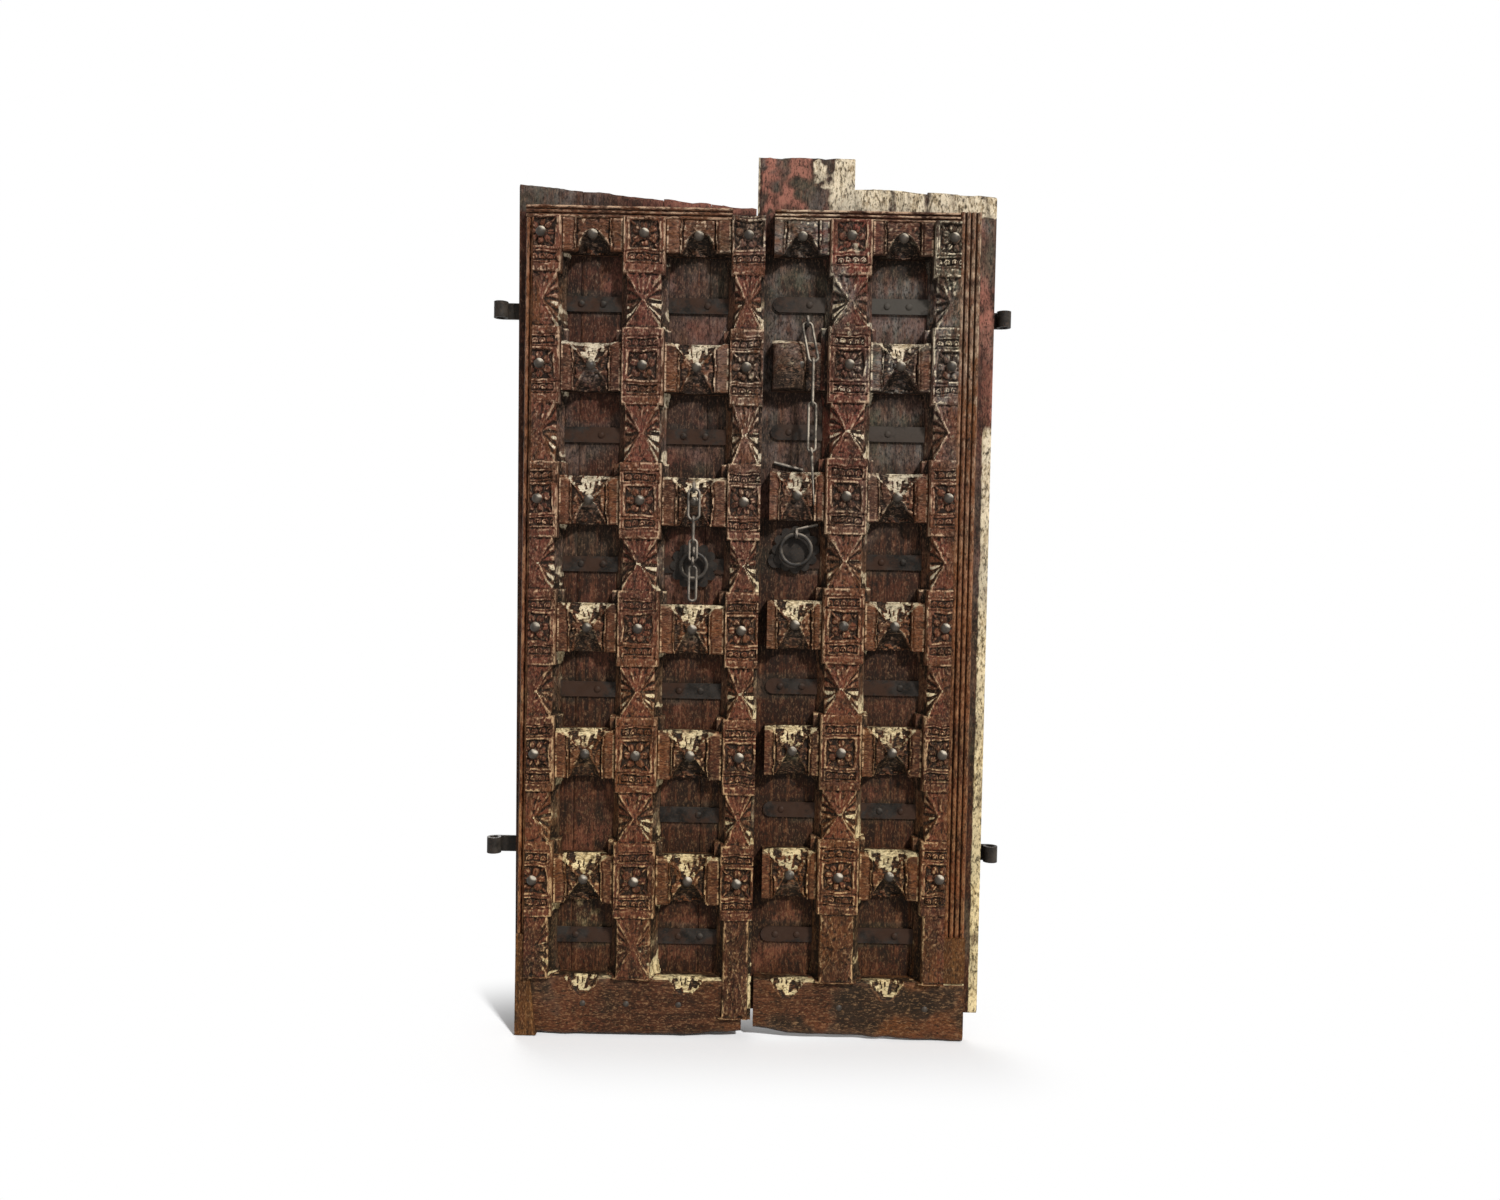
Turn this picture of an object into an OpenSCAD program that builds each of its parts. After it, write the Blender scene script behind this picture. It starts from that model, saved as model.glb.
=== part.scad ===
// Antique carved double door: two plank leaves with carved pilasters, rails, iron straps,
// studs, strap hinges, chains and pull rings. The front faces -Y, the floor line is z = 0,
// and the origin lies midway along the width and the depth.

/* [Leaf layout] */
// Height from the floor line to the top of the carved frame
frame_h = 1841; // [1500:1:2200]
// Width of the left side moulding
left_moulding_w = 20; // [14:1:40]
// Width of the left side pilaster
left_side_pilaster_w = 60; // [45:1:80]
// Width of the outer panel column of the left leaf
left_panel_1_w = 135; // [110:1:180]
// Width of the inner panel column of the left leaf
left_panel_2_w = 145; // [110:1:180]
// Width of the middle pilaster of each leaf
middle_pilaster_w = 92; // [70:1:110]
// Width of the meeting pilaster, which laps over the right leaf
meeting_pilaster_w = 73; // [60:1:90]
// Gap between the meeting pilaster and the rails of the right leaf
meeting_gap = 20; // [14:1:30]
// Width of the inner panel column of the right leaf
right_panel_1_w = 122; // [110:1:180]
// Width of the outer panel column of the right leaf
right_panel_2_w = 136; // [110:1:180]
// Width of the right side pilaster
right_side_pilaster_w = 57; // [45:1:80]
// Width of the right side moulding
right_moulding_w = 48; // [30:1:70]

/* [Planks] */
// Thickness of the planks
plank_t = 38; // [25:1:50]
// Gap between neighbouring planks
plank_gap = 1; // [0.5:0.1:2]
// How far the left leaf's planks reach past its side moulding
left_plank_overhang = 23; // [10:1:34]
// How far the outer edge of the left leaf leans in from its top to its foot
left_foot_lean = 15; // [0:1:20]
// How far the right leaf's planks reach past its side moulding
right_plank_overhang = 39; // [10:1:42]
// Height of the left leaf's planks above the frame at the outer edge
left_plank_rise = 55; // [20:1:90]
// Height of the left leaf's planks above the frame at the meeting edge
left_plank_inner_rise = 13; // [5:1:60]
// Height of the tall plank of the right leaf above the frame
tall_plank_rise = 126; // [60:1:200]
// Height of the right leaf's other planks above the frame, beside the tall plank
right_plank_rise = 62; // [20:1:90]
// Height of the right leaf's other planks above the frame at the outer edge
right_plank_outer_rise = 49; // [20:1:90]
// Height of the left planks' feet above the floor line
left_plank_foot = 12; // [5:1:80]
// Height of the right planks' feet above the floor line
right_plank_foot = 57; // [5:1:80]
// How far the meeting pilaster laps over the right leaf's planks
meeting_lap = 18; // [10:1:25]
// Gap between the planks of the two leaves
leaf_gap = 2.5; // [2:0.1:5]
// Clearance between the meeting pilaster's back and the right leaf's planks
lap_clearance = 0.8; // [0.4:0.1:0.9]

/* [Rails] */
// Height of a rail
rail_h = 108; // [80:1:130]
// Height of the part of the top rail below its studs
top_rail_drop = 36; // [28:1:54]
// Depth of a rail in front of the planks
rail_d = 46; // [36:1:52]
// Depth of the rails where the pilasters lap over them
lap_d = 28; // [16:1:32]
// Width of a boss scoop at the edge of the rail
scoop_w = 74; // [50:1:90]
// Depth of a boss scoop at the edge of the rail
scoop_d = 15; // [8:1:20]
// Width of an open arch under a boss at the edge of the rail
arch_w = 96; // [80:1:104]
// Depth of an open arch at the edge of the rail
arch_d = 35; // [22:1:38]
// Height of the bottom rail
bottom_rail_h = 136; // [100:1:170]
// Depth of the bottom rail in front of the planks
bottom_rail_d = 42; // [34:1:50]
// Height of the scoops in the bottom rail's upper edge
bottom_scoop_h = 44; // [30:1:60]
// Height worn off the left bottom rail at the meeting edge
left_foot_wear = 18; // [5:1:40]
// Height worn off the right bottom rail at the meeting edge
right_foot_wear = 26; // [5:1:40]
// Height worn off the left bottom rail at its outer end
left_outer_wear = 3; // [1:1:10]
// How far the right bottom rail's toe reaches towards the left leaf
right_toe_l = 14; // [5:1:16]
// Height of the toe's upper edge above the floor line
right_toe_h = 44; // [35:1:48]

/* [Pilasters] */
// Depth of a pilaster's blocks in front of the planks
pilaster_d = 60; // [56:1:70]
// Depth of a pilaster's shafts in front of the planks
shaft_d = 54; // [50:1:55]
// How far a shaft stands back from each side of its blocks
shaft_inset = 8; // [4:1:12]
// Depth of the flange beside a shaft
shaft_flange_d = 26; // [18:1:34]
// Depth of the hourglass scoops at the sides of a shaft
shaft_scoop_d = 24; // [10:1:26]
// Width of a shaft's waist between its scoops
waist_w = 8; // [4:1:16]
// Height of a rosette block
block_h = 168; // [140:1:190]
// Side of the sunk square around a rosette
rosette_panel = 66; // [50:1:70]
// Depth of the sunk square around a rosette
rosette_sink = 5; // [3:0.5:7]
// Radius at the middle of a rosette's petals
rosette_r = 18; // [14:0.5:20]
// Radius of one petal
petal_r = 8; // [7:0.5:9]
// Radius of the middle of a rosette
rosette_eye_r = 13; // [12:0.5:15]
// Height of the grooves across a block
groove_h = 4; // [2:0.5:6]
// Depth of the grooves across a block
groove_d = 4; // [2:0.5:6]
// Height of the toothed band between two grooves
band_h = 20; // [14:1:24]
// Width of one slot in the toothed band
slot_w = 5; // [3:0.5:7]
// Height of the meeting pilaster's foot above the floor line
meeting_foot = 51; // [48:1:90]
// How far the meeting pilaster's top lies below the frame's top
meeting_drop = 22; // [10:1:40]

/* [Mouldings] */
// Height of the left top moulding
left_top_moulding_h = 30; // [20:1:40]
// Height of the right top moulding
right_top_moulding_h = 26; // [20:1:40]
// Depth of the mouldings in front of the planks
moulding_d = 38; // [28:1:46]
// Flat between two reeds of a moulding
reed_gap = 2; // [1:0.5:3]
// Height of the repair wedge on the left leaf
left_repair_h = 229; // [160:1:260]
// Width of the repair wedge at the floor line
left_repair_w = 48; // [30:1:58]
// Height of the repair block on the right leaf
right_repair_h = 100; // [60:1:140]
// Width of the repair block on the right leaf
right_repair_w = 92; // [60:1:100]
// Depth of both repairs in front of the planks
repair_d = 44; // [36:1:50]

/* [Iron] */
// Width of an iron strap
strap_w = 34; // [24:1:42]
// Thickness of an iron strap
strap_t = 5; // [3:0.5:7]
// Radius of a stud head
stud_r = 11; // [8:0.5:12]
// Height of a stud head
stud_h = 8; // [5:0.5:9]
// Radius of the head of a nail in the bottom rails
nail_r = 6.5; // [5:0.5:10]
// Height of the head of a nail in the bottom rails
nail_h = 3; // [2:0.5:6]
// Radius of a stud's shank
shank_r = 4; // [3:0.25:5]
// Length of the clenched end of a stud
clench_l = 24; // [15:1:30]
// Thickness of a strap hinge
hinge_t = 6; // [4:0.5:8]
// Height of a strap hinge and of its eye
hinge_w = 36; // [28:1:44]
// Length of a strap hinge inwards from its eye
hinge_l = 330; // [250:1:380]
// Outer radius of a hinge eye
eye_r = 16; // [15:0.5:18]
// Radius of the hole in a hinge eye
eye_bore_r = 10; // [7:0.5:10]
// Distance of the eye axes outwards from the carved frame
eye_offset = 66; // [62:1:80]
// Distance of the upper hinges' middle below the middle of the top panels
hinge_top_drop = 10; // [0:1:40]
// Height of the lower hinges' middle above the studs of the lowest rail
hinge_bottom_rise = 57; // [50:1:120]

/* [Chains and rings] */
// Diameter of the chain wire
wire = 6; // [4:0.5:7]
// Diameter of the staple wire
staple_wire = 7; // [5:0.5:8]
// Radius of the hole in a staple's eye
staple_hole_r = 6; // [5.5:0.25:8]
// Distance of the chains in front of the rails
chain_standoff = 17; // [16:0.5:24]
// Lengths over the left chain's links
left_link_l = [74, 62, 52, 100]; // [40:1:120]
// Widths over the left chain's links
left_link_w = [30, 22, 22, 22]; // [18:1:32]
// Lengths over the right chain's links
right_link_l = [92, 107, 112]; // [60:1:130]
// Widths over the right chain's links
right_link_w = [26, 20, 22]; // [18:1:32]
// Length of the right chain's pin below its eye
pin_l = 108; // [60:1:112]
// Lean of the right chain's first link from the vertical, degrees
right_link_lean = 12; // [0:1:14]
// Lean of the right chain's pin from the vertical, degrees
pin_lean = 4; // [0:1:5]
// Height of the left chain's staple above the middle of its rail
left_staple_rise = 30; // [20:1:40]
// Height of the right chain's staple above the second rail's top
right_staple_rise = 36; // [30:1:60]
// Distance of the right chain's staple from the middle of its panel
right_staple_shift = 14; // [0:1:16]
// Outer diameter of the left pull ring
left_ring_d = 66; // [50:1:70]
// Outer diameter of the right pull ring
right_ring_d = 76; // [60:1:84]
// Diameter of the pull rings' wire
ring_wire = 9; // [7:0.5:10]
// Diameter of the ring plates
plate_d = 106; // [90:1:112]
// Thickness of the ring plates
plate_t = 4; // [3:0.5:6]
// Distance of the right ring plate's middle below the rail above it
right_plate_drop = 64; // [60:1:90]
// Distance of the rings in front of their plates
ring_standoff = 15; // [14:0.5:20]
// Length of the loose iron bar
bar_l = 66; // [40:1:80]
// Diameter of the loose iron bar
bar_wire = 9; // [6:0.5:12]

/* [Hidden] */
$fn = 48;

// Overrun of every cut past the faces that it opens
overrun = 1;
// Clearance of shanks in holes, straps in grooves, links on each other and mouldings over rails
fit = 0.3;

// Heights of the rails' studs, as shares of the frame's height, top to bottom
left_rail_shares = [0.964, 0.809, 0.6495, 0.4965, 0.3445, 0.1925];
right_rail_shares = [0.966, 0.815, 0.659, 0.5045, 0.3525, 0.2025];
rail_last = len(left_rail_shares) - 1;
// Edges of the planks, as shares of each leaf's width over its planks
left_plank_shares = [0, 0.267, 0.607, 0.809, 1];
right_plank_shares = [0, 0.405, 0.709, 1];
// Places of the nails in the bottom rails, as shares of the rail's length
left_nail_shares = [0.27, 0.47, 0.71];
right_nail_shares = [0.39, 0.81];
// Places of the hinge nails along the strap, as shares of its length
hinge_nail_shares = [0.26, 0.48, 0.7, 0.92];
// Height of the bottom rails' nails, as a share of the rail's height
nail_height_share = 0.56;
// Place of the side pilasters' studs, as a share of the pilaster's width from its outer edge
side_stud_share = 0.28;
// Row whose left strap has lost its outer half, and rail and row that carry the ironwork at hand height
broken_strap = 4;
chain_rail = 2;
// Bosses of each rail with an open arch below their stud, top to bottom
left_arches = [[], [], [], [], [1], [0, 1]];
right_arches = [[], [1], [1], [1], [1], [1]];
// Number of petals in a rosette and of slots in a toothed band
petals = 8;
slots = 6;
// Number of reeds in the mouldings
narrow_reeds = 2;
wide_reeds = 4;
top_reeds = 3;
// Depth of the hinge nails in the planks, as a share of the planks' thickness
nail_depth_share = 0.6;
// Depth of the staples' shanks in the planks, as a share of the planks' thickness
staple_depth_share = 0.7;
// Number of scallops round a ring plate, and their size as shares of the plate's radius
scallops = 12;
scallop_share = 0.2;
plate_core_share = 0.84;
// Step by which a hinge eye is set forward of the strap's back, as a share of the strap's thickness
eye_set_share = 0.15;
// Thickness of the pin's head and of its tip, as shares of its wire
pin_head_share = 1.25;
pin_tip_share = 0.4;
// Overlap of the tail link's eye with its loop, as a share of the wire
tail_set_share = 0.4;
// Place of the loose bar in its panel, as shares of the panel's width and the bar's angle
bar_x_share = 0.34;
bar_angle = -14;
// Angle of the right ring staple's bent arm and its length, as a share of the ring's diameter
arm_angle = 14;
arm_share = 0.64;
// Thickness of the arm, as a share of the staple's wire
arm_wire_share = 0.9;

// Places across the door, left to right
frame_w = left_moulding_w + left_side_pilaster_w + left_panel_1_w + middle_pilaster_w + left_panel_2_w
  + meeting_pilaster_w + meeting_gap + right_panel_1_w + middle_pilaster_w + right_panel_2_w
  + right_side_pilaster_w + right_moulding_w;
left_x = -frame_w / 2;
left_side_x = left_x + left_moulding_w;
left_panel_1_x = left_side_x + left_side_pilaster_w;
left_middle_x = left_panel_1_x + left_panel_1_w;
left_panel_2_x = left_middle_x + middle_pilaster_w;
meeting_x = left_panel_2_x + left_panel_2_w;
meeting_end_x = meeting_x + meeting_pilaster_w;
right_x = meeting_end_x + meeting_gap;
right_middle_x = right_x + right_panel_1_w;
right_panel_2_x = right_middle_x + middle_pilaster_w;
right_side_x = right_panel_2_x + right_panel_2_w;
right_moulding_x = right_side_x + right_side_pilaster_w;
right_end_x = right_moulding_x + right_moulding_w;

// Places of the studs across each leaf
left_side_stud_x = left_side_x + left_side_pilaster_w * side_stud_share;
left_boss_1_x = left_panel_1_x + left_panel_1_w / 2;
left_middle_stud_x = left_middle_x + middle_pilaster_w / 2;
left_boss_2_x = left_panel_2_x + left_panel_2_w / 2;
meeting_stud_x = meeting_x + meeting_pilaster_w / 2;
right_boss_1_x = right_x + right_panel_1_w / 2;
right_middle_stud_x = right_middle_x + middle_pilaster_w / 2;
right_boss_2_x = right_panel_2_x + right_panel_2_w / 2;
right_side_stud_x = right_moulding_x - right_side_pilaster_w * side_stud_share;
left_pilaster_studs = [left_side_stud_x, left_middle_stud_x, meeting_stud_x];
left_boss_studs = [left_boss_1_x, left_boss_2_x];
right_pilaster_studs = [right_middle_stud_x, right_side_stud_x];
right_boss_studs = [right_boss_1_x, right_boss_2_x];

// Ends of the planks
right_plank_x = meeting_end_x - meeting_lap;
left_plank_end_x = right_plank_x - leaf_gap;
left_plank_x = left_x - left_plank_overhang;
right_plank_end_x = right_end_x + right_plank_overhang;

// Heights of the frame
left_top_z = frame_h - left_top_moulding_h;
right_top_z = frame_h - right_top_moulding_h;
right_repair_z = bottom_rail_h;
left_bottom_rail_x = left_side_x;
nail_z = bottom_rail_h * nail_height_share;
hinge_top_z = row_z(left_rail_shares, 0) - hinge_top_drop;
hinge_bottom_z = rail_z(left_rail_shares, rail_last) + hinge_bottom_rise;

// Depths: y = 0 is the planks' front until placed() moves the whole door to its middle
link_reach = left_link_w[1] / 2;
front_reach = rail_d + chain_standoff + link_reach;
back_reach = plank_t + hinge_t + stud_h / 2;
depth_shift = (front_reach - back_reach) / 2;
hinge_axis_x = frame_w / 2 + eye_offset;
hinge_axis_y = plank_t + hinge_t - eye_r - hinge_t * eye_set_share;
hinge_nail_h = stud_h / 2;
plate_front = strap_t + plate_t;
ring_depth = plate_front + ring_standoff;
chain_depth = rail_d + chain_standoff;
clench_r = shank_r + fit;

// Rails and rows
function rail_z(shares, k) = frame_h * shares[k];
function rail_low(shares, k) = rail_z(shares, k) - (k == 0 ? top_rail_drop : rail_h / 2);
function rail_high(shares, k, top_z) = k == 0 ? top_z : rail_z(shares, k) + rail_h / 2;
function row_z(shares, k) =
  k < rail_last ? (rail_z(shares, k) + rail_z(shares, k + 1)) / 2
                : (rail_low(shares, k) + bottom_rail_h) / 2;
function shaft_low(shares, k) = k < rail_last ? rail_z(shares, k + 1) + block_h / 2 : bottom_rail_h;
function shaft_high(shares, k) = rail_z(shares, k) - block_h / 2;

// Chain: a link is [x of its top bend, height of its top wire, length, width, lean]
// The next link's top wire lies on the lowest point of this link's bottom bend
function bend_r(w) = (w - wire) / 2;
function link_span(l, w) = l - w;
function top_bend_z(z, w) = z - bend_r(w);
function bottom_bend_x(x, l, w, lean) = x + link_span(l, w) * sin(lean);
function bottom_bend_z(z, l, w, lean) = top_bend_z(z, w) - link_span(l, w) * cos(lean);
function bottom_wire_z(z, l, w, lean) = bottom_bend_z(z, l, w, lean) - bend_r(w);
function next_wire_z(z, l, w, lean) = bottom_wire_z(z, l, w, lean) + wire + fit;
hung_drop = staple_hole_r - wire / 2 - fit;
ring_drop = staple_hole_r - ring_wire / 2 - fit;
staple_r = staple_hole_r + staple_wire / 2;

left_staple_x = left_boss_2_x;
left_staple_z = rail_z(left_rail_shares, chain_rail) + left_staple_rise;
left_z_1 = left_staple_z - hung_drop;
left_z_2 = next_wire_z(left_z_1, left_link_l[0], left_link_w[0], 0);
left_z_3 = next_wire_z(left_z_2, left_link_l[1], left_link_w[1], 0);
left_z_4 = next_wire_z(left_z_3, left_link_l[2], left_link_w[2], 0);

right_staple_x = right_boss_1_x + right_staple_shift;
right_staple_z = rail_z(right_rail_shares, 1) + rail_h / 2 + right_staple_rise;
right_z_1 = right_staple_z - hung_drop;
right_x_2 = bottom_bend_x(right_staple_x, right_link_l[0], right_link_w[0], right_link_lean);
right_z_2 = next_wire_z(right_z_1, right_link_l[0], right_link_w[0], right_link_lean);
right_z_3 = next_wire_z(right_z_2, right_link_l[1], right_link_w[1], 0);
right_z_4 = next_wire_z(right_z_3, right_link_l[2], right_link_w[2], 0);

left_plate_z = row_z(left_rail_shares, chain_rail);
right_plate_z = rail_low(right_rail_shares, chain_rail) - right_plate_drop;
left_ring_z = left_plate_z + left_ring_d / 2 - ring_wire / 2 + ring_drop;
right_ring_z = right_plate_z + right_ring_d / 2 - ring_wire / 2 + ring_drop;

// Colours
old_wood = [0.36, 0.22, 0.17];
red_wood = [0.48, 0.26, 0.2];
dark_wood = [0.27, 0.18, 0.14];
new_wood = [0.5, 0.3, 0.15];
iron = [0.2, 0.2, 0.2];

// The whole door is moved so that its depth is centred on y = 0
module placed() {
  translate([0, depth_shift, 0]) children();
}

// A block between two x, two z and two depths in front of the planks
module bar(x0, x1, z0, z1, d0, d1) {
  translate([x0, -d1, z0]) cube([x1 - x0, d1 - d0, z1 - z0]);
}

// A plate with an outline in x and z, between two depths in front of the planks
module outline_bar(points, d0, d1) {
  translate([0, -d0, 0]) rotate([90, 0, 0]) linear_extrude(height = d1 - d0) polygon(points);
}

// A round bar along +Y
module along_y(x, y, z, r, l) {
  translate([x, y, z]) rotate([-90, 0, 0]) cylinder(r = r, h = l);
}

// A hole for a stud's shank through wood and planks
module shank_hole(x, z) {
  along_y(x, -pilaster_d - overrun, z, shank_r + fit, pilaster_d + plank_t + 2 * overrun);
}

// A conical scoop: its point is at the origin on a front face, and it opens towards +Z,
// w wide and d deep at height h
module scoop(h, w, d) {
  sink = atan(d / h);
  lean = atan((cos(sink) - h / sqrt(w * w / 4 + h * h)) / sin(sink));
  length = (h + overrun) / cos(lean) + d;
  rotate([lean, 0, 0]) cylinder(r1 = 0, r2 = length * tan(lean + sink), h = length);
}

// Planks

module plank(x0, x1, foot, lean, top_0, top_1, stud_xs, shares) {
  difference() {
    outline_bar([[x0 + lean, foot], [x1, foot], [x1, top_1], [x0, top_0]], -plank_t, 0);
    for (x = stud_xs, k = [0 : rail_last])
      if (x > x0 && x < x1) shank_hole(x, rail_z(shares, k));
    children();
  }
}

module bottom_nail_holes(x0, x1, shares) {
  for (share = shares) shank_hole(x0 + (x1 - x0) * share, nail_z);
}

function left_share_x(share) = left_plank_x + (left_plank_end_x - left_plank_x) * share;
function left_share_top(share) =
  frame_h + left_plank_rise + (left_plank_inner_rise - left_plank_rise) * share;

module left_plank(k) {
  x0 = left_share_x(left_plank_shares[k]) + (k == 0 ? 0 : plank_gap / 2);
  x1 = left_share_x(left_plank_shares[k + 1]) - (k == 3 ? 0 : plank_gap / 2);
  placed()
    plank(x0, x1, left_plank_foot, k == 0 ? left_foot_lean : 0, left_share_top(left_plank_shares[k]),
          left_share_top(left_plank_shares[k + 1]), concat(left_pilaster_studs, left_boss_studs),
          left_rail_shares) {
      bottom_nail_holes(left_bottom_rail_x, left_plank_end_x, left_nail_shares);
      hinge_nail_holes(-1, hinge_top_z);
      hinge_nail_holes(-1, hinge_bottom_z);
      staple_hole(left_boss_2_x, left_ring_z);
      staple_hole(left_staple_x, left_staple_z);
    }
}

function right_share_x(share) = right_plank_x + (right_plank_end_x - right_plank_x) * share;
function past_tall_plank(share) = (share - right_plank_shares[1]) / (1 - right_plank_shares[1]);
function right_share_top(share) =
  frame_h + right_plank_rise + (right_plank_outer_rise - right_plank_rise) * past_tall_plank(share);

module right_plank(k) {
  x0 = right_share_x(right_plank_shares[k]) + (k == 0 ? 0 : plank_gap / 2);
  x1 = right_share_x(right_plank_shares[k + 1]) - (k == 2 ? 0 : plank_gap / 2);
  tall_z = frame_h + tall_plank_rise;
  placed()
    plank(x0, x1, right_plank_foot, 0, k == 0 ? tall_z : right_share_top(right_plank_shares[k]),
          k == 0 ? tall_z : right_share_top(right_plank_shares[k + 1]),
          concat(right_pilaster_studs, right_boss_studs), right_rail_shares) {
      bottom_nail_holes(right_x, right_end_x, right_nail_shares);
      hinge_nail_holes(1, hinge_top_z);
      hinge_nail_holes(1, hinge_bottom_z);
      staple_hole(right_boss_1_x, right_ring_z);
      staple_hole(right_staple_x, right_staple_z);
    }
}

// Carved frame

// Grooves, toothed bands and a sunk rosette across one block of a pilaster
module block_carving(x0, x1, axis_x, z) {
  difference() {
    bar(axis_x - rosette_panel / 2, axis_x + rosette_panel / 2,
        z - rosette_panel / 2, z + rosette_panel / 2,
        pilaster_d - rosette_sink, pilaster_d + overrun);
    along_y(axis_x, -pilaster_d - 2 * overrun, z, rosette_eye_r, rosette_sink + 4 * overrun);
    for (p = [0 : petals - 1])
      along_y(axis_x + rosette_r * cos(p * 360 / petals), -pilaster_d - 2 * overrun,
              z + rosette_r * sin(p * 360 / petals), petal_r, rosette_sink + 4 * overrun);
  }
  slot_step = middle_pilaster_w / (slots + 1);
  for (side = [-1, 1]) {
    inner = side * (rosette_panel / 2 + groove_h);
    outer = inner + side * (groove_h + band_h);
    for (at = [inner, outer])
      bar(x0 - overrun, x1 + overrun, z + at - groove_h / 2, z + at + groove_h / 2,
          pilaster_d - groove_d, pilaster_d + overrun);
    for (s = [1 : slots])
      bar(axis_x - middle_pilaster_w / 2 + s * slot_step - slot_w / 2,
          axis_x - middle_pilaster_w / 2 + s * slot_step + slot_w / 2,
          z + (inner + outer) / 2 - band_h / 2, z + (inner + outer) / 2 + band_h / 2,
          pilaster_d - groove_d, pilaster_d + overrun);
  }
}

// What is cut from a shaft between two blocks: its front, its sides and the hourglass scoops
module shaft_carving(x0, x1, axis_x, z0, z1, sides) {
  bar(x0 - overrun, x1 + overrun, z0, z1, shaft_d, pilaster_d + overrun);
  for (side = sides) {
    edge = side < 0 ? x0 : x1;
    inset = edge - side * shaft_inset;
    bar(min(edge + side * overrun, inset), max(edge + side * overrun, inset), z0, z1,
        shaft_flange_d, pilaster_d + overrun);
    translate([axis_x + side * waist_w / 2, -shaft_d, (z0 + z1) / 2]) rotate([0, side * 90, 0])
      scoop(abs(inset - axis_x) - waist_w / 2, z1 - z0, shaft_scoop_d);
  }
}

// Room for an iron strap behind a piece of the frame
module strap_groove(x0, x1, z) {
  bar(x0 - overrun, x1 + overrun, z - strap_w / 2 - fit, z + strap_w / 2 + fit, -overrun, strap_t + fit);
}

// A pilaster of rosette blocks and hourglass shafts, lapped over the rails and the iron straps
module pilaster(x0, x1, axis_x, z0, z1, shares, top_z, sides) {
  difference() {
    bar(x0, x1, z0, z1, 0, pilaster_d);
    for (k = [0 : rail_last]) {
      block_carving(x0, x1, axis_x, rail_z(shares, k));
      shaft_carving(x0, x1, axis_x, shaft_low(shares, k), shaft_high(shares, k), sides);
      bar(x0 - overrun, x1 + overrun, rail_low(shares, k), rail_high(shares, k, top_z), -overrun, lap_d);
      strap_groove(x0, x1, row_z(shares, k));
      shank_hole(axis_x, rail_z(shares, k));
    }
    children();
  }
}

// A rail with scooped bosses, thinned where the pilasters lap over it
module rail(x0, x1, shares, k, top_z, laps, bosses, arches, pilaster_studs) {
  z = rail_z(shares, k);
  low = rail_low(shares, k);
  high = rail_high(shares, k, top_z);
  difference() {
    bar(x0, x1, low, high, 0, rail_d);
    for (lap = laps)
      bar(lap[0], lap[1], low - overrun, high + overrun, lap_d, rail_d + overrun);
    for (i = [0 : len(bosses) - 1]) {
      arched = len(search(i, arches)) > 0;
      translate([bosses[i], -rail_d, z]) scoop(high - z, scoop_w, scoop_d);
      translate([bosses[i], -rail_d, z]) mirror([0, 0, 1])
        scoop(z - low, arched ? arch_w : scoop_w, arched ? arch_d : scoop_d);
    }
    for (x = concat(bosses, pilaster_studs)) shank_hole(x, z);
    children();
  }
}

module left_rail(k) {
  color(red_wood) placed()
    rail(left_side_x, left_plank_end_x, left_rail_shares, k, left_top_z,
         [[left_side_x - overrun, left_panel_1_x], [left_middle_x, left_panel_2_x],
          [meeting_x, left_plank_end_x + overrun]],
         left_boss_studs, left_arches[k], left_pilaster_studs)
      if (k == chain_rail) staple_hole(left_staple_x, left_staple_z);
}

module right_rail(k) {
  color(red_wood) placed()
    rail(right_x, right_moulding_x, right_rail_shares, k, right_top_z,
         [[right_middle_x, right_panel_2_x], [right_side_x, right_moulding_x + overrun]],
         right_boss_studs, right_arches[k], right_pilaster_studs);
}

// A moulding of round reeds on a flat base; it runs along +Z from the origin, w wide along +X
module reeded(l, w, reeds) {
  pitch = w / reeds;
  reed_r = (pitch - reed_gap) / 2;
  translate([0, -(moulding_d - reed_r), 0]) cube([w, moulding_d - reed_r, l]);
  for (k = [0 : reeds - 1])
    translate([(k + 0.5) * pitch, -(moulding_d - reed_r), 0]) cylinder(r = reed_r, h = l);
}

module left_top_moulding() {
  color(old_wood) placed()
    translate([left_x, 0, frame_h]) rotate([0, 90, 0])
      reeded(meeting_x - left_x, left_top_moulding_h - fit, top_reeds);
}

module left_side_moulding() {
  color(red_wood) placed()
    translate([left_x, 0, left_repair_h])
      reeded(left_top_z - left_repair_h, left_moulding_w, narrow_reeds);
}

module right_top_moulding() {
  color(old_wood) placed()
    translate([right_x, 0, frame_h]) rotate([0, 90, 0])
      reeded(right_moulding_x - right_x, right_top_moulding_h - fit, top_reeds);
}

module right_side_moulding() {
  repair_top = right_repair_z + right_repair_h;
  color(red_wood) placed()
    translate([right_moulding_x, 0, repair_top])
      reeded(frame_h - repair_top, right_moulding_w, wide_reeds);
}

left_repair_outline = [
  [left_x, left_outer_wear], [left_x + left_repair_w, left_outer_wear],
  [left_side_x, left_repair_h], [left_x, left_repair_h]
];

module left_corner_repair() {
  color(new_wood) placed() outline_bar(left_repair_outline, 0, repair_d);
}

right_repair_x = right_end_x - right_repair_w;

module right_corner_repair() {
  color(new_wood) placed()
    difference() {
      bar(right_repair_x, right_end_x, right_repair_z, right_repair_z + right_repair_h, 0, repair_d);
      strap_groove(right_repair_x, right_end_x, row_z(right_rail_shares, rail_last));
    }
}

module left_side_pilaster() {
  color(old_wood) placed()
    pilaster(left_side_x, left_panel_1_x, left_side_stud_x, bottom_rail_h, left_top_z,
             left_rail_shares, left_top_z, [1])
      outline_bar(left_repair_outline, -overrun, pilaster_d + overrun);
}

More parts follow.
